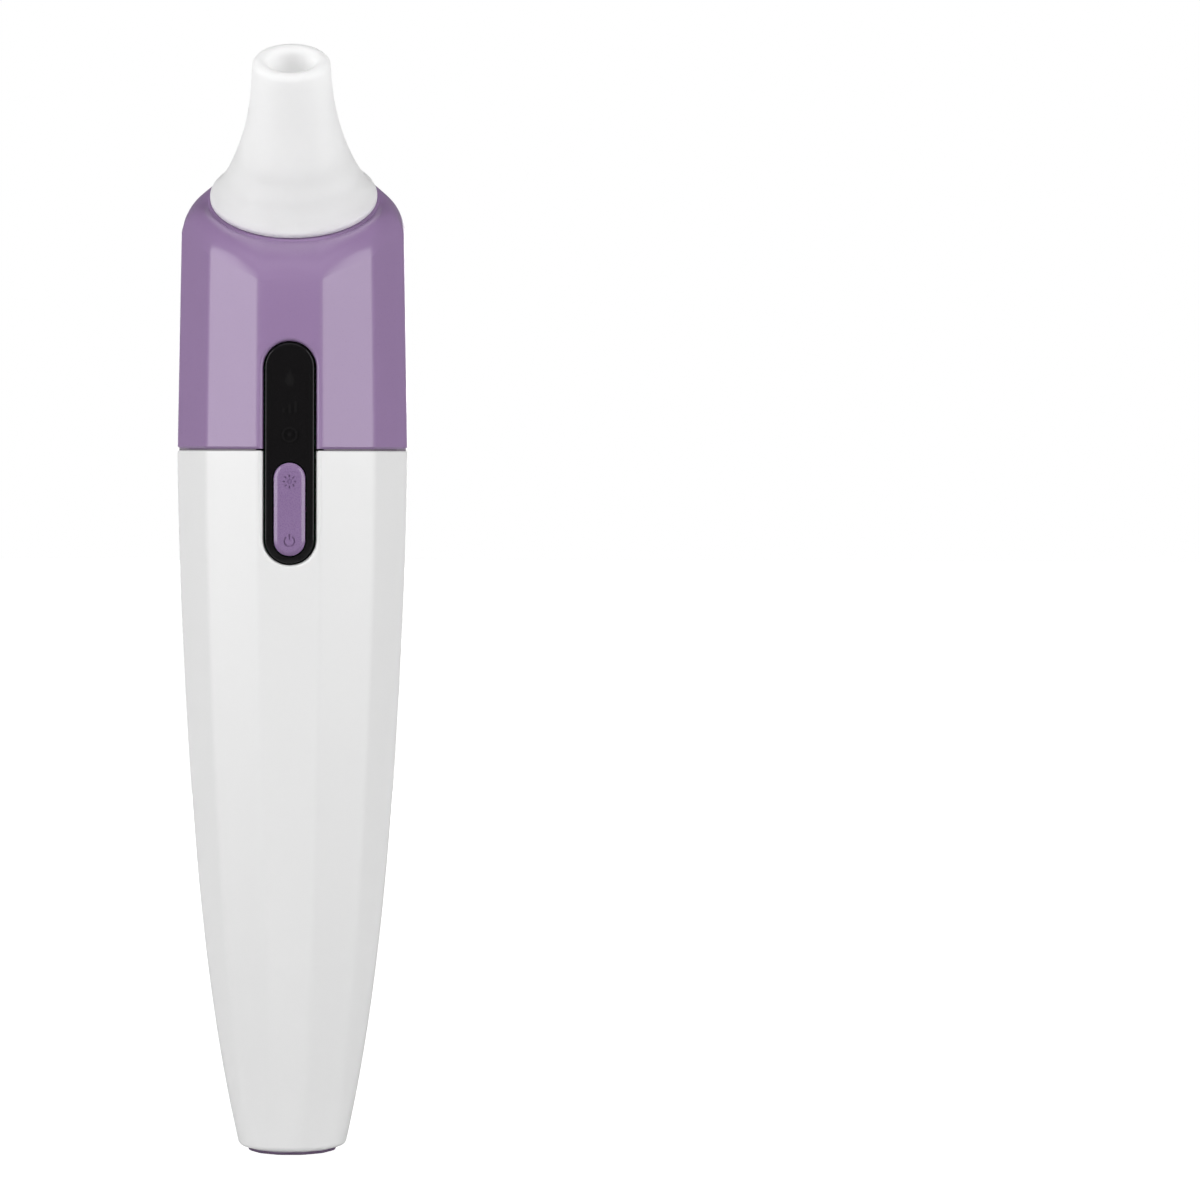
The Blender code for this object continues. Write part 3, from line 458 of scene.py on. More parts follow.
MATERIALS = {
    "purple": moulded_plastic("purple_satin", (0.306, 0.200, 0.374), (0.320, 0.209, 0.390),
                              rough=(0.26, 0.34), grain_mm=0.2, grain=0.06),
    "button": moulded_plastic("purple_button", (0.258, 0.164, 0.328), (0.269, 0.171, 0.341),
                              rough=(0.24, 0.32), grain_mm=0.2, grain=0.05),
    # The cap is the shell's purple plastic darkened: painted shade for its rim, which sits in
    # shadow under the handle.
    "cap": moulded_plastic("purple_cap_painted_shade", (0.150, 0.098, 0.180), (0.160, 0.104, 0.192),
                           rough=(0.34, 0.44), grain_mm=0.2, grain=0.06),
    # Darker and greyer than the shell purple: painted shade for the line seen through the seam gap.
    "rib": moulded_plastic("seam_painted_shade", (0.175, 0.145, 0.185), (0.190, 0.158, 0.200),
                           rough=(0.45, 0.6), grain_mm=0.3, grain=0.1),
    # Pale lilac: white plastic tinted with painted purple bounce light from the cap.
    "gasket": moulded_plastic("lilac_painted_bounce", (0.66, 0.62, 0.69), (0.69, 0.65, 0.72),
                              rough=(0.45, 0.6), grain_mm=0.3, grain=0.1),
    "white": moulded_plastic("white_satin", (0.865, 0.865, 0.865), (0.885, 0.885, 0.883),
                             rough=(0.34, 0.44), grain_mm=0.22, grain=0.05),
    "white_inner": moulded_plastic("white_inner", (0.74, 0.74, 0.73), (0.78, 0.78, 0.77),
                                   rough=(0.4, 0.5), grain_mm=0.35, grain=0.15),
    "lens": moulded_plastic("window_gloss", (0.0055, 0.0050, 0.0056), (0.0065, 0.0060, 0.0065),
                            rough=(0.07, 0.11), grain_mm=4.0, grain=0.01, specular=0.3),
    "icon": moulded_plastic("window_print", (0.0090, 0.0085, 0.0090), (0.0100, 0.0095, 0.0100),
                            rough=(0.09, 0.14), grain_mm=4.0, grain=0.01, specular=0.35),
    "black": moulded_plastic("black_matt", (0.02, 0.02, 0.02), (0.028, 0.028, 0.028),
                             rough=(0.45, 0.6), grain_mm=0.3, grain=0.2),
    "rubber": moulded_plastic("seal_rubber", (0.022, 0.022, 0.022), (0.035, 0.035, 0.034),
                              rough=(0.6, 0.78), grain_mm=0.3, grain=0.25),
    "silicone": silicone("probe_silicone", (0.92, 0.92, 0.92)),
    "foam": foam("filter_foam"),
    "steel": metal("plated_steel", (0.66, 0.65, 0.63)),
    "board": circuit_board("solder_mask"),
    "clear": clear_plastic("clear_guide"),
    "lamp": moulded_plastic("lamp_body", (0.82, 0.78, 0.58), (0.86, 0.82, 0.62),
                            rough=(0.2, 0.3)),
    "cell": moulded_plastic("cell_wrap", (0.05, 0.2, 0.33), (0.06, 0.23, 0.37),
                            rough=(0.25, 0.4), grain_mm=1.5, grain=0.1),
    "lead_red": moulded_plastic("lead_red", (0.42, 0.02, 0.02), (0.5, 0.03, 0.03),
                                rough=(0.35, 0.5)),
    "lead_black": moulded_plastic("lead_black", (0.015, 0.015, 0.015), (0.02, 0.02, 0.02),
                                  rough=(0.35, 0.5)),
}

SLOT_MATERIALS = {
    "purple_plastic": "purple", "white_plastic": "white_inner", "silicone": "silicone",
    "window_black": "lens", "black_plastic": "black", "seal_rubber": "rubber",
    "filter_foam": "foam", "clear_plastic": "clear", "circuit_board": "board", "lamp": "lamp",
    "steel": "steel", "cell_wrap": "cell", "lead_red": "lead_red", "lead_black": "lead_black",
}


# ---------------------------------------------------------------- column

def flat_distance(z):
    """Distance from the axis to a flat side, convex in the handle and nearly straight above."""
    if z >= SEAM_Z:
        return SEAM_FLAT - HEAD_TAPER * math.cos(SIDE_ANGLE / 2) * (z - SEAM_Z)
    down = (SEAM_Z - z) / SEAM_Z
    narrowing = HANDLE_BELLY * down ** HANDLE_BELLY_POWER + HANDLE_TOE * down ** HANDLE_TOE_POWER
    return SEAM_FLAT - narrowing * math.cos(SIDE_ANGLE / 2)


# Degrees from an edge of the column at which its outline has points, denser near the edge.
HALF_TURNS = (0.7, 1.4, 2.2, 3.5, 5.5, 8.0, 10.5, 13.0)
COLUMN_TURNS = [-turn for turn in reversed(HALF_TURNS)] + [0.0] + list(HALF_TURNS)
COLUMN_ANGLES = [-math.pi / 2 + SIDE_ANGLE * (side - 0.5) + math.radians(turn)
                 for side in range(SIDES) for turn in COLUMN_TURNS]


def soft_radius(angle, flat, edge_radius):
    """Radius of a twelve-sided outline with rounded edges, one flat side facing -Y."""
    across = (angle + math.pi / 2 + SIDE_ANGLE / 2) % SIDE_ANGLE
    from_edge = min(across, SIDE_ANGLE - across)
    reach = (flat - edge_radius) / math.cos(SIDE_ANGLE / 2)
    arc_end = math.atan2(edge_radius * math.sin(SIDE_ANGLE / 2),
                         reach + edge_radius * math.cos(SIDE_ANGLE / 2))
    if from_edge < arc_end:
        offset = reach * math.sin(from_edge)
        return reach * math.cos(from_edge) + math.sqrt(edge_radius * edge_radius - offset * offset)
    return flat / math.cos(SIDE_ANGLE / 2 - from_edge)


def soft_outline(flat, edge_radius):
    """Points (x, y) of the rounded twelve-sided outline."""
    points = []
    for angle in COLUMN_ANGLES:
        radius = soft_radius(angle, flat, edge_radius)
        points.append((radius * math.cos(angle), radius * math.sin(angle)))
    return points


def edge_radius_at(z):
    """Edges are crisp around the seam and melt away towards the foot."""
    low = max(0.0, 1.0 - z / FOOT_SOFT_HEIGHT)
    return HEAD_EDGE_RADIUS + FOOT_EDGE_GROWTH * low * low


def column_ring(bm, z, inset=0.0, front_shift=0.0):
    """Outline of the column at a height; front_shift moves only the points on the front side."""
    on_plane = 0.02
    front_share = 0.27
    least_flat = 0.5
    flat = flat_distance(z)
    points = []
    for x, y in soft_outline(flat - inset, min(edge_radius_at(z), flat - inset - least_flat)):
        on_front = y < -(flat - inset) + on_plane and abs(x) < flat * front_share
        points.append((x, y, z + (front_shift if on_front else 0.0)))
    return ring(bm, points)


def steps_between(low, high, count):
    """Evenly spaced values, both ends included."""
    return [low + (high - low) * i / count for i in range(count + 1)]


def window_cutter():
    """Slot-shaped cutter that leaves a rounded edge following the bowed front side."""
    middle = (LENS_LOW.z + LENS_HIGH.z) / 2
    half = (LENS_HIGH.z - LENS_LOW.z) / 2
    above_front, below_front = -3.0, 8.0
    first = math.radians(20.0)
    lead = 0.3
    steps = 5
    reach = WINDOW_FILLET * (1 - math.sin(first)) + lead / math.tan(first)
    sections = [(reach, above_front), (reach, WINDOW_FILLET * (1 - math.cos(first)) - lead)]
    for i in range(steps + 1):
        angle = first + (math.pi / 2 - first) * i / steps
        sections.append((WINDOW_FILLET * (1 - math.sin(angle)),
                         WINDOW_FILLET * (1 - math.cos(angle))))
    sections.append((0.0, below_front))
    bm = bmesh.new()
    rings = []
    for outset, depth in sections:
        points = []
        for x, along in stadium(LENS_HIGH.x + GAP + outset, half + GAP + outset, 28):
            z = middle + along
            points.append((x, -flat_distance(z) + depth, z))
        rings.append(ring(bm, points))
    join_rings(bm, rings)
    bm.faces.new(rings[0])
    bm.faces.new(rings[-1])
    bmesh.ops.triangulate(bm, faces=[f for f in bm.faces if len(f.verts) > 4])
    return bm


def make_handle():
    """Tapering white sleeve, rolled in at the foot and chamfered at the seam, where its front
    side stands a little lower and so widens the dark line there."""
    bm = bmesh.new()
    lip = 0.8
    lip_steps = 6
    outer_steps, inner_steps = 64, 16
    chamfer_start = SEAM_CHAMFER * 0.3
    front_below_top, front_at_top = -0.15, -0.2
    top = HANDLE_HIGH.z
    bottom = HANDLE_LOW.z
    rings = []
    for i in range(lip_steps + 1):
        angle = math.pi / 2 * i / lip_steps
        rings.append(column_ring(bm, bottom + lip * (1 - math.cos(angle)),
                                 lip * (1 - math.sin(angle))))
    for z in steps_between(bottom + lip, top - SEAM_CHAMFER, outer_steps)[1:]:
        rings.append(column_ring(bm, z))
    rings.append(column_ring(bm, top - chamfer_start, chamfer_start, front_below_top))
    rings.append(column_ring(bm, top, SEAM_CHAMFER, front_at_top))
    for z in reversed(steps_between(bottom, top, inner_steps)):
        rings.append(column_ring(bm, z, WALL))
    join_rings(bm, rings, closed=True)
    shell = add_piece("handle_sleeve", bm, MATERIALS["white"], replaces=["handle_shell"])
    cut(shell, window_cutter())
    finish_cuts(shell)


def seat_point(angle, radius, height):
    """Point at an angle and radius round the seat's axis, and a height above the seat."""
    return SEAT @ Vector((radius * math.cos(angle), radius * math.sin(angle), height))


def shoulder_start(y):
    """Height at which the flat sides give way to the rounded shoulder."""
    if y < 0:
        return SHOULDER_SIDE_Z - SHOULDER_FRONT_DROP * y * y
    return SHOULDER_SIDE_Z + SHOULDER_BACK_RISE * y


def shoulder_ring(bm, t, inset=0.0):
    """Ring of the shoulder from the end of the flat sides (t 0) to the edge of the seat (t 1)."""
    flat = flat_distance(SHOULDER_SIDE_Z) - inset
    points = []
    for angle in COLUMN_ANGLES:
        outward = Vector((math.cos(angle), math.sin(angle), 0.0))
        foot = outward * soft_radius(angle, flat, HEAD_EDGE_RADIUS)
        foot.z = shoulder_start(foot.y) - inset * SHOULDER_INNER_DROP
        knee = outward * (flat - SHOULDER_KNEE_INSET)
        knee.z = foot.z + SHOULDER_KNEE_RISE
        rim_height = -SEAT_THICKNESS if inset else SEAT_RAISE - SEAT_ROLL_DROP
        rim = seat_point(angle, SEAT_RADIUS - inset, rim_height)
        points.append(foot * (1 - t) ** 2 + knee * 2 * t * (1 - t) + rim * t ** 2)
    return ring(bm, points)


def make_head():
    """Purple shell: faceted sides, rounded shoulder, slanted seat with its hole."""
    bm = bmesh.new()
    side_steps = 16
    inner_shoulder_stride, inner_side_stride = 4, 3
    bottom = HEAD_LOW.z
    rings = [column_ring(bm, bottom, SEAM_CHAMFER),
             column_ring(bm, bottom + SEAM_CHAMFER * 0.7, SEAM_CHAMFER * 0.3)]
    heights = steps_between(bottom + SEAM_CHAMFER, STRAIGHT_TOP, side_steps)
    rings += [column_ring(bm, z) for z in heights]
    turns = steps_between(0.0, 1.0, SHOULDER_STEPS)
    rings += [shoulder_ring(bm, t) for t in turns]
    seat = [(SEAT_RADIUS - inset, SEAT_RAISE - drop) for inset, drop in SEAT_ROLL]
    seat += [(SEAT_HOLE_RADIUS + SEAT_HOLE_EASE, SEAT_RAISE),
             (SEAT_HOLE_RADIUS, -SEAT_HOLE_DROP), (SEAT_HOLE_RADIUS, -SEAT_THICKNESS)]
    for radius, height in seat:
        rings.append(ring(bm, [seat_point(a, radius, height) for a in COLUMN_ANGLES]))
    rings += [shoulder_ring(bm, t, WALL) for t in reversed(turns[::inner_shoulder_stride])]
    rings += [column_ring(bm, z, WALL) for z in reversed(heights[::inner_side_stride])]
    rings.append(column_ring(bm, bottom, WALL))
    join_rings(bm, rings, closed=True)
    shell = add_piece("head_shell", bm, MATERIALS["purple"], replaces=["head_housing"])
    cut(shell, window_cutter())
    finish_cuts(shell)


def make_seam_rib():
    """Rib that backs the joint between handle and head, open at the window. Its grey, darker than
    the shells, is painted shade for the seam line.
    """
    clear = 0.02
    outer_inset, inner_inset = 0.28, 1.4
    edge_radius = 2.0
    bm = bmesh.new()
    low, high = HANDLE_HIGH.z + clear, HEAD_LOW.z - clear
    rings = []
    for inset, z in ((outer_inset, low), (outer_inset, high), (inner_inset, high),
                     (inner_inset, low)):
        rings.append(ring(bm, [(x, y, z) for x, y in soft_outline(SEAM_FLAT - inset, edge_radius)]))
    join_rings(bm, rings, closed=True)
    rib = add_piece("seam_rib", bm, MATERIALS["rib"])
    half_width = 5.65
    front, back = -25.0, -12.0
    past_rib = 1.0
    opening = [(-half_width, front), (half_width, front), (half_width, back), (-half_width, back)]
    cut(rib, prism(opening, lambda p: (p[0], p[1], low - past_rib),
                   lambda p: (p[0], p[1], high + past_rib)))
    finish_cuts(rib)


def make_foot_gasket():
    """Ring squeezed between the cap's rim and the handle, pale lilac: white tinted with painted
    purple bounce light.
    """
    clear = 0.01
    bevel = 0.06
    thickness = 0.9
    bm = bmesh.new()
    low, high = CAP_RIM + clear, HANDLE_LOW.z - clear
    foot = CAP_HIGH.x
    rings = []
    for inset, z in ((bevel, low), (0.0, low + bevel), (0.0, high - bevel), (bevel, high),
                     (thickness, high), (thickness, low)):
        rings.append(ring(bm, [(x, y, z) for x, y in soft_outline(foot - inset, FOOT_EDGE_RADIUS)]))
    join_rings(bm, rings, closed=True)
    add_piece("foot_gasket", bm, MATERIALS["gasket"])


def make_cap():
    """Foot cap with a softened rim, a charging slot and six vents."""
    core, core_soft = 2.0, 1.9
    fillet, fillet_steps = 0.35, 5
    sole_inset = 0.55
    skirt, floor = 1.2, 1.6
    least_flat = 0.2
    foot = CAP_HIGH.x
    plug = flat_distance(HANDLE_LOW.z) - WALL - GAP
    bm = bmesh.new()

    def cap_ring(flat, z, soft=FOOT_EDGE_RADIUS):
        return ring(bm, [(x, y, z) for x, y in soft_outline(flat, min(soft, flat - least_flat))])

    rings = [cap_ring(core, 0.0, core_soft), cap_ring(foot - sole_inset, 0.0)]
    for i in range(1, fillet_steps + 1):
        angle = math.pi / 2 * i / fillet_steps
        rings.append(cap_ring(foot - fillet * (1 - math.sin(angle)),
                              fillet * (1 - math.cos(angle))))
    rings += [cap_ring(foot, CAP_RIM), cap_ring(plug, CAP_RIM), cap_ring(plug, CAP_HIGH.z),
              cap_ring(plug - skirt, CAP_HIGH.z), cap_ring(plug - skirt, floor),
              cap_ring(core, floor, core_soft)]
    join_rings(bm, rings)
    bm.faces.new(rings[0])
    bm.faces.new(rings[-1])
    # Its material is the darkened purple, which paints in the shade under the handle.
    cap = add_piece("foot_cap", bm, MATERIALS["cap"], replaces=["bottom_cap"])
    below, above = -1.0, 2.5
    slot_lead, slot_lead_depth = 0.25, 0.12
    _, usb_high = node_box("usb_c_shell")
    for grow, top in ((GAP, above), (GAP + slot_lead, slot_lead_depth)):
        cut(cap, prism(stadium(usb_high.y + grow, usb_high.x + grow, 24),
                       lambda p: (p[1], p[0], below), lambda p, z=top: (p[1], p[0], z)))
    vent_radius, vent_pitch, vent_row_y = 0.55, 2.0, 3.9
    for side in (-1, 1):
        for i in (-1, 0, 1):
            cut(cap, rod(vent_radius, below, above, 24,
                         Matrix.Translation((vent_pitch * i, vent_row_y * side, 0.0))))
    finish_cuts(cap)


# ---------------------------------------------------------------- probe end

PROBE_LENGTH = 26.6
PROBE_BASE = 14.15
PROBE_RIM = 1.2
PROBE_NECK = 6.55
PROBE_NECK_TOP = 23.5
PROBE_MOUTH = 3.95
FLARE, FLARE_LENGTH, FLARE_POWER = 7.45, 27.5, 2.3
FOOT_SWEEP = 0.88

# Inside of the probe from the mouth down to its foot: (radius, height above the seat).
THROAT = [(4.0, 24.0), (4.3, 22.0), (4.7, 19.5), (5.2, 17.0), (5.65, 14.8), (6.2, 12.5),
          (6.75, 11.0), (7.4, 9.6), (8.2, 8.6), (8.8, 8.0), (9.0, 7.0), (9.0, 4.9), (9.3, 4.5),
          (10.6, 4.4), (10.6, 2.3), (11.2, 2.05), (12.0, 2.0), (12.0, GAP)]

SEAL_RADIUS = 11.15
SEAL_CORD_RADIUS = 0.55


def probe_radius(s):
    """Outer radius of the trumpet at a distance s above the seat."""
    return (PROBE_NECK + FLARE * (1 - s / FLARE_LENGTH) ** FLARE_POWER
            + FOOT_SWEEP * math.exp(1 - s / PROBE_RIM))


def make_probe():
    """Trumpet with a rolled foot, a concave flare and a round lip at its mouth."""
    foot_round, rim_round, rim_drop = 0.3, 0.25, 0.2
    flare_start = 0.1
    steps = 44
    crowding = 1.5
    lip = (PROBE_NECK - PROBE_MOUTH) / 2
    profile = arc(PROBE_BASE - foot_round, GAP + foot_round, foot_round, -90, 0, 4)
    profile += arc(PROBE_BASE - rim_round, PROBE_RIM - rim_drop, rim_round, 0, 50, 3)
    for i in range(1, steps):
        s = PROBE_RIM + (PROBE_NECK_TOP - PROBE_RIM) * (i / (steps - 1)) ** crowding
        profile.append((min(probe_radius(s), PROBE_BASE - flare_start), s))
    profile += arc(PROBE_MOUTH + lip, PROBE_LENGTH - lip, lip, 0, 180, 16)
    add_piece("trumpet_probe", turned(profile + THROAT, 128, SEAT), MATERIALS["silicone"],
              body="probe", replaces=["suction_probe"], smooth_angle=50.0)


def make_seal():
    """Round rubber cord; its turn stops short of a full circle, where the first point closes it."""
    profile = arc(SEAL_RADIUS, SEAL_HEIGHT, SEAL_CORD_RADIUS, 0, 345, 23)
    add_piece("seal_ring", turned(profile, 96, SEAT), MATERIALS["rubber"],
              replaces=["probe_seal_ring"])


def make_foam():
    """Ring of open-cell foam: a dense skin pitted inwards by a cell pattern."""
    inner, outer, low, high = 6.15, 8.3, 1.9, 6.8
    corner = 0.45
    grid = 0.2
    cell, pit_radius, pit_depth = 0.48, 0.55, 0.2
    profile = []
    for cr, ch, start in ((outer - corner, low + corner, -90), (outer - corner, high - corner, 0),
                          (inner + corner, high - corner, 90), (inner + corner, low + corner, 180)):
        profile += arc(cr, ch, corner, start, start + 90, 3)
    dense = []
    for (r0, h0), (r1, h1) in zip(profile, profile[1:] + profile[:1]):
        pieces = max(1, round(math.hypot(r1 - r0, h1 - h0) / grid))
        dense += [(r0 + (r1 - r0) * i / pieces, h0 + (h1 - h0) * i / pieces)
                  for i in range(pieces)]
    bm = turned(dense, 220)
    bmesh.ops.recalc_face_normals(bm, faces=bm.faces)
    bm.normal_update()
    moves = []
    for vert in bm.verts:
        near = noise.voronoi(vert.co / cell, distance_metric="DISTANCE")[0]
        pit = max(0.0, pit_radius - near[0]) / pit_radius
        moves.append(vert.co - vert.normal * (pit_depth * pit))
    for vert, place in zip(bm.verts, moves):
        vert.co = place
    bm.transform(SEAT)
    piece = add_piece("foam_ring", bm, MATERIALS["foam"], body="filter",
                      replaces=["foam_filter_ring"], smooth_angle=80.0)


def make_socket():
    """Collar, floor and ported spigot that the ring and the probe sit on."""
    profile = [(2.1, -9.0), (3.0, -9.0), (3.0, -4.6), (4.4, -4.0), (4.4, 0.6), (9.2, 0.6),
               (9.2, -3.6), (13.0, -3.6), (13.0, -SEAT_THICKNESS - GAP),
               (10.2, -SEAT_THICKNESS - GAP)]
    profile += arc(9.9, 3.7, 0.3, 0, 90, 4) + arc(9.45, 3.75, 0.25, 90, 180, 4)
    profile += arc(9.0, 1.8, 0.2, 0, -90, 3) + arc(6.05, 1.8, 0.2, -90, -180, 3)
    profile += arc(5.35, 7.5, 0.5, 0, 90, 6)
    profile += [(1.6, 8.0), (1.4, 7.7), (0.0, 7.7)]
    bore = [(0.0, 7.0), (3.6, 7.0), (3.6, 1.0), (2.1, 0.0)]
    bm = turned(list(reversed(profile)) + list(reversed(bore)), 96, SEAT)
    socket = add_piece("socket_collar", bm, MATERIALS["white_inner"], replaces=["filter_socket"])
    port_radius, port_reach, port_height = 1.2, 9.0, 4.2
    for i in range(2):
        place = (SEAT @ Matrix.Rotation(math.pi * i / 2, 4, "Z")
                 @ Matrix.Translation((0.0, 0.0, port_height)))
        cut(socket, rod(port_radius, -port_reach, port_reach, 32,
                        place @ Matrix.Rotation(math.pi / 2, 4, "X")))
    screw_radius, screw_low, screw_high, screw_circle = 0.9, -4.5, -1.0, 11.8
    for i in range(3):
        place = SEAT @ Matrix.Rotation(math.radians(90.0 + 120.0 * i), 4, "Z")
        cut(socket, rod(screw_radius, screw_low, screw_high, 24,
                        place @ Matrix.Translation((screw_circle, 0.0, 0.0))))
    finish_cuts(socket)


# ---------------------------------------------------------------- window and rocker

SLOT_STEPS = 32
STROKE = 0.22
MARK_STROKE = 0.42


def rounded_edge(size, steps=5):
    """(inset, depth) pairs of a quarter-round edge."""
    points = []
    for i in range(steps + 1):
        angle = math.pi / 2 * i / steps
        points.append((size * (1 - math.cos(angle)), size * (1 - math.sin(angle))))
    return points


def chamfered_edge(width, depth, ease=0.05):
    """(inset, depth) pairs of a flat chamfer with eased corners."""
    return [(0.0, depth + ease), (ease, depth - ease / 2), (width - ease, ease / 2),
            (width + ease, 0.0)]


def face_y(z, proud):
    """Place of a face that stands proud of the column's front side at a height."""
    return -(flat_distance(z) + proud)


def bowed_slab(low, high, half_width, proud, back_y, edge):
    """Slot-shaped slab whose face follows the front side, with the given edge."""
    middle = (low + high) / 2
    half = (high - low) / 2
    bm = bmesh.new()
    rings = []
    for inset, depth in [(0.0, None)] + edge:
        points = []
        for x, along in stadium(half_width - inset, half - inset, SLOT_STEPS):
            z = middle + along
            points.append((x, back_y if depth is None else face_y(z, proud) + depth, z))
        rings.append(ring(bm, points))
    join_rings(bm, rings)
    bm.faces.new(rings[0])
    fill_slot(bm, rings[-1])
    return bm


def fill_slot(bm, loop):
    """Close a slot-shaped loop with rows across it, so that a bowed face stays smooth."""
    count = len(loop)
    quarter = SLOT_STEPS // 2
    lowest = count - 1 - quarter
    right = [loop[i % count] for i in range(lowest, count + quarter + 1)]
    left = [loop[i] for i in range(lowest, quarter - 1, -1)]
    for i in range(len(left) - 1):
        corners = []
        for vert in (left[i], right[i], right[i + 1], left[i + 1]):
            if vert not in corners:
                corners.append(vert)
        if len(corners) >= 3:
            bm.faces.new(corners)


def make_lens():
    """Black window with a softened rim and an eased opening for the rocker."""
    bm = bowed_slab(LENS_LOW.z, LENS_HIGH.z, LENS_HIGH.x, LENS_PROUD, LENS_HIGH.y,
                    rounded_edge(0.25))
    lens = add_piece("window_lens", bm, MATERIALS["lens"], replaces=["display_lens"],
                     smooth_angle=60.0)
    rocker_mid = (ROCKER_LOW.z + ROCKER_HIGH.z) / 2
    half = (ROCKER_HIGH.z - ROCKER_LOW.z) / 2
    opening_gap, opening_back = 0.22, -12.0
    lead_gap, lead_back = 0.36, -19.28
    front = -25.0
    for grow, back in ((opening_gap, opening_back), (lead_gap, lead_back)):
        cut(lens, prism(stadium(ROCKER_HALF_WIDTH + grow, half + grow, SLOT_STEPS),
                        lambda p: (p[0], front, rocker_mid + p[1]),
                        lambda p, y=back: (p[0], y, rocker_mid + p[1])))
    finish_cuts(lens, 40.0)


def flat_shape(bm, outline, centre_z, proud, depth):
    """Thin plate with an (x, z) outline on the front side; used raised or as a cutter."""
    low = ring(bm, [(x, face_y(centre_z + z, proud), centre_z + z) for x, z in outline])
    high = ring(bm, [(x, face_y(centre_z + z, proud) + depth, centre_z + z) for x, z in outline])
    join_rings(bm, [low, high])
    bm.faces.new(low)
    bm.faces.new(high)


def arc_band(radius, width, start, end, steps=24):
    """Outline of a curved band, angles in degrees."""
    outline = []
    for r, first, last in ((radius + width / 2, start, end), (radius - width / 2, end, start)):
        for i in range(steps + 1):
            a = math.radians(first + (last - first) * i / steps)
            outline.append((r * math.cos(a), r * math.sin(a)))
    return outline


def bar(x0, z0, x1, z1, width):
    """Outline of a straight stroke with square ends."""
    along = Vector((x1 - x0, z1 - z0)).normalized() * (width / 2)
    across = Vector((-along.y, along.x))
    return [(x0 + across.x, z0 + across.y), (x0 - across.x, z0 - across.y),
            (x1 - across.x, z1 - across.y), (x1 + across.x, z1 + across.y)]


def disc(radius, steps=24):
    """Outline of a round dot."""
    return [(radius * math.cos(math.tau * i / steps), radius * math.sin(math.tau * i / steps))
            for i in range(steps)]


def sun_strokes():
    """A dot with rays around it."""
    rays, ray_start, ray_end = 8, 0.7, 1.15
    strokes = [disc(0.42)]
    for i in range(rays):
        a = math.tau * i / rays
        strokes.append(bar(ray_start * math.cos(a), ray_start * math.sin(a),
                           ray_end * math.cos(a), ray_end * math.sin(a), STROKE))
    return strokes


def power_strokes():
    """A ring open at the top with a bar in the opening."""
    return [arc_band(0.85, STROKE, 125, 415), bar(0.0, 0.25, 0.0, 1.15, STROKE)]


def make_rocker():
    """Rocker with its lug, pivot pin, two switch nubs and two cut icons."""
    low, high = ROCKER_LOW.z, ROCKER_HIGH.z
    bm = bowed_slab(low, high, ROCKER_HALF_WIDTH, ROCKER_PROUD, LENS_HIGH.y,
                    chamfered_edge(0.65, 0.36))
    rocker = add_piece("rocker", bm, MATERIALS["button"], body="rocker",
                       replaces=["rocker_button"], smooth_angle=60.0)
    pivot = ROCKER_PIVOT
    lug_size, lug_y = Vector((4.4, 3.3, 2.0)), -16.35
    lug = bmesh.new()
    bmesh.ops.create_cube(lug, size=1.0)
    for vert in lug.verts:
        vert.co = Vector((vert.co.x * lug_size.x, lug_y + vert.co.y * lug_size.y,
                          pivot.z + vert.co.z * lug_size.z))
    cut(rocker, lug, "UNION")
    pin_radius, pin_half = 0.4, 3.9
    cut(rocker, rod(pin_radius, -pin_half, pin_half, 24,
                    Matrix.Translation(pivot) @ Matrix.Rotation(math.pi / 2, 4, "Y")), "UNION")
    nub_radius, nub_length, nub_y, nub_reach = 0.8, 1.4, -16.6, 5.0
    for sign in (-1, 1):
        cut(rocker, rod(nub_radius, 0.0, nub_length, 24,
                        Matrix.Translation((0.0, nub_y, pivot.z + nub_reach * sign))
                        @ Matrix.Rotation(math.pi / 2, 4, "X")), "UNION")
    groove_start, groove_end = 0.5, 0.65
    sun_below_top, power_above_foot = 3.1, 2.5
    for strokes, z in ((sun_strokes(), high - sun_below_top),
                       (power_strokes(), low + power_above_foot)):
        for outline in strokes:
            groove = bmesh.new()
            flat_shape(groove, outline, z, ROCKER_PROUD + groove_start, groove_end)
            cut(rocker, groove)
    finish_cuts(rocker, 40.0)


def drop_outline():
    """A drop: most of a circle, closed to a point above it."""
    radius, centre, tip = 0.85, -0.4, 1.45
    first, sweep, steps = -215, 250, 24
    outline = []
    for i in range(steps + 1):
        a = math.radians(first + sweep * i / steps)
        outline.append((radius * math.cos(a), centre + radius * math.sin(a)))
    outline.append((0.0, tip))
    return outline


def make_window_icons():
    """Three faint printed marks on the window, over their lamps: a ring, rising bars, a drop."""
    proud, thickness = 0.135, 0.05
    ring_radius, ring_width = 1.15, 0.3
    bars_foot, bars = -0.9, ((-1.0, -0.1), (0.0, 0.5), (1.0, 1.1))
    lamps = [node_box(f"icon_led_{i}") for i in (1, 2, 3)]
    centres = [(low.z + high.z) / 2 for low, high in lamps]
    shapes = ([arc_band(ring_radius, ring_width, 0, 180),
               arc_band(ring_radius, ring_width, 180, 360), disc(0.35)],
              [bar(x, bars_foot, x, top, MARK_STROKE) for x, top in bars],
              [drop_outline()])
    names = ("window_mark_ring", "window_mark_bars", "window_mark_drop")
    for name, strokes, z in zip(names, shapes, centres):
        bm = bmesh.new()
        for outline in strokes:
            flat_shape(bm, outline, z, proud, thickness)
        add_piece(name, bm, MATERIALS["icon"])


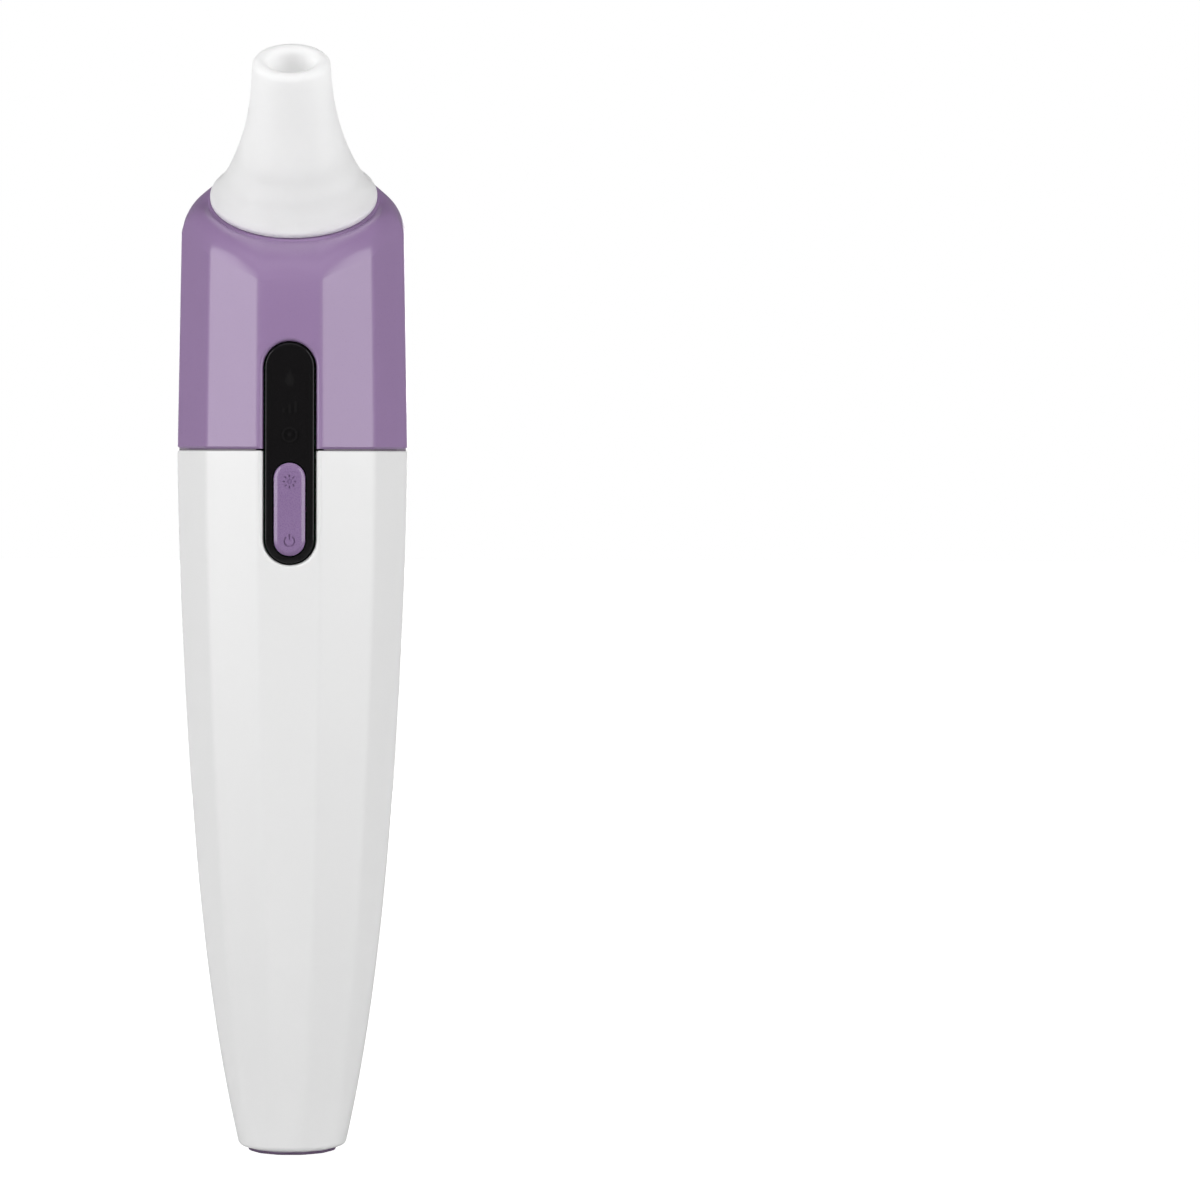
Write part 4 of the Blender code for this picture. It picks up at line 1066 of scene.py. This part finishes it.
def make_usb():
    """Charging inlet: a rolled metal shell around its tongue."""
    low, high = node_box("usb_c_shell")
    wall, outer_roll, inner_roll = 0.35, 0.12, 0.2
    bm = bmesh.new()
    rings = []
    for inset, z in ((outer_roll, low.z), (0.0, low.z + outer_roll), (0.0, high.z), (wall, high.z),
                     (wall, low.z + inner_roll), (wall - outer_roll, low.z)):
        rings.append(ring(bm, [(p[1], p[0], z)
                               for p in stadium(high.y - inset, high.x - inset, 24)]))
    join_rings(bm, rings, closed=True)
    add_piece("charging_shell", bm, MATERIALS["steel"], replaces=["usb_c_shell"])


# ---------------------------------------------------------------- carried-over nodes

def dress_cad_nodes():
    """Give every CAD node that still shows its procedural material."""
    slots = {part["node"]: part["material_slot"] for part in frame["record"]["subparts"]}
    for name, node in frame["nodes"].items():
        made = MATERIALS[SLOT_MATERIALS[slots[name]]]
        for slot in node.material_slots:
            slot.material = made
        if not node.material_slots:
            node.data.materials.append(made)


# ---------------------------------------------------------------- stage

def make_floor():
    """Pale sweep that reads as white to the lens and as matt paint to everything else."""
    half_size, below_foot = 4.0, 0.2 * MM
    bm = bmesh.new()
    bmesh.ops.create_grid(bm, x_segments=1, y_segments=1, size=half_size)
    mesh = bpy.data.meshes.new("floor")
    bm.to_mesh(mesh)
    bm.free()
    floor = bpy.data.objects.new("floor", mesh)
    floor.location.z = -below_foot
    bpy.context.scene.collection.objects.link(floor)
    made, tree, shader = new_material("floor_pale")
    shader.inputs["Base Color"].default_value = (0.7, 0.7, 0.7, 1.0)
    shader.inputs["Roughness"].default_value = 0.9
    shader.inputs["Specular IOR Level"].default_value = 0.1
    shader.inputs["Emission Color"].default_value = WHITE
    path = tree.nodes.new("ShaderNodeLightPath")
    tree.links.new(path.outputs["Is Camera Ray"], shader.inputs["Emission Strength"])
    mesh.materials.append(made)


# Name, bearing in degrees from the front (+ to the right), then distance, height, width and
# length in metres, and radiance.
SOFTBOXES = (
    ("softbox_left", -61.0, 0.75, 0.25, 0.26, 1.0, 5.5),
    ("softbox_right", 57.0, 0.75, 0.25, 0.26, 1.0, 5.0),
    ("softbox_above", 0.0, 0.4, 0.85, 0.7, 0.5, 0.85),
    ("softbox_behind", 180.0, 0.8, 0.1, 0.6, 0.24, 3.5),
)
SOFTBOX_TARGET = Vector((0.0, 0.0, 0.1))

# Room light by direction from front to back: (position in the ramp, strength).
ROOM_BANDS = ((0.013, 0.12), (0.035, 0.94), (0.2, 0.26), (0.33, 0.86), (0.55, 0.18))
# It dims between these two upward parts of the direction, down to the share given.
DIM_FROM, DIM_TO, DIM_SHARE = 0.25, 0.8, 0.25


def add_softbox(name, bearing, distance, height, width, length, radiance):
    """Area light, unseen by the camera, that faces the middle of the column."""
    area = width * length
    light = bpy.data.lights.new(name, "AREA")
    light.shape = "RECTANGLE"
    light.size = width
    light.size_y = length
    light.energy = radiance * area * math.pi
    lamp = bpy.data.objects.new(name, light)
    lamp.visible_camera = False
    bpy.context.scene.collection.objects.link(lamp)
    angle = math.radians(bearing)
    place = Vector((distance * math.sin(angle), -distance * math.cos(angle), height))
    lamp.location = place
    lamp.rotation_euler = (SOFTBOX_TARGET - place).to_track_quat("-Z", "Y").to_euler()


def make_light():
    """White backdrop, banded room light that dims overhead, tall softboxes at the sides, a wide
    one above and a low one behind."""
    world = bpy.data.worlds.new("studio")
    bpy.context.scene.world = world
    world.use_nodes = True
    tree = world.node_tree
    background = tree.nodes["Background"]
    coords = tree.nodes.new("ShaderNodeTexCoord")
    split = tree.nodes.new("ShaderNodeSeparateXYZ")
    tree.links.new(coords.outputs["Generated"], split.inputs["Vector"])
    place = ramp_node(tree, -1.0, 1.0, 0.0, 1.0)
    tree.links.new(split.outputs["Y"], place.inputs["Value"])
    spread = tree.nodes.new("ShaderNodeValToRGB")
    ramp = spread.color_ramp
    for position, strength in ROOM_BANDS:
        stop = ramp.elements.new(position)
        stop.color = (strength, strength, strength, 1.0)
    ramp.elements.remove(ramp.elements[0])
    ramp.elements.remove(ramp.elements[-1])
    tree.links.new(place.outputs["Result"], spread.inputs["Fac"])
    ceiling = ramp_node(tree, DIM_FROM, DIM_TO, 1.0, DIM_SHARE)
    tree.links.new(split.outputs["Z"], ceiling.inputs["Value"])
    dim = tree.nodes.new("ShaderNodeMath")
    dim.operation = "MULTIPLY"
    tree.links.new(spread.outputs["Color"], dim.inputs[0])
    tree.links.new(ceiling.outputs["Result"], dim.inputs[1])
    path = tree.nodes.new("ShaderNodeLightPath")
    pick = tree.nodes.new("ShaderNodeMix")
    pick.inputs["B"].default_value = 1.0
    tree.links.new(path.outputs["Is Camera Ray"], pick.inputs["Factor"])
    tree.links.new(dim.outputs["Value"], pick.inputs["A"])
    tree.links.new(pick.outputs["Result"], background.inputs["Strength"])
    background.inputs["Color"].default_value = WHITE
    for softbox in SOFTBOXES:
        add_softbox(*softbox)


def make_camera():
    """Long lens slightly above the column's middle, panned to set the column left of centre."""
    distance = 0.77
    height = 0.12
    turn = math.radians(1.93)
    pan = math.radians(3.889)
    dip = math.radians(1.937)
    lean = math.radians(0.219)
    data = bpy.data.cameras.new("camera")
    data.lens = 135.45
    data.sensor_width = 36.0
    data.dof.use_dof = False
    data.clip_start = 0.01
    data.clip_end = 20.0
    camera = bpy.data.objects.new("camera", data)
    bpy.context.scene.collection.objects.link(camera)
    camera.location = (distance * math.sin(turn), -distance * math.cos(turn), height)
    aim = Matrix.Rotation(turn - pan, 4, "Z") @ Matrix.Rotation(math.pi / 2 - dip, 4, "X")
    camera.rotation_euler = (aim @ Matrix.Rotation(lean, 4, "Z")).to_euler()
    bpy.context.scene.camera = camera


make_camera()
make_light()
make_floor()
dress_cad_nodes()
make_handle()
make_head()
make_seam_rib()
make_foot_gasket()
make_cap()
make_probe()
make_seal()
make_foam()
make_socket()
make_lens()
make_window_icons()
make_rocker()
make_usb()
bpy.context.scene.view_settings.view_transform = "Standard"
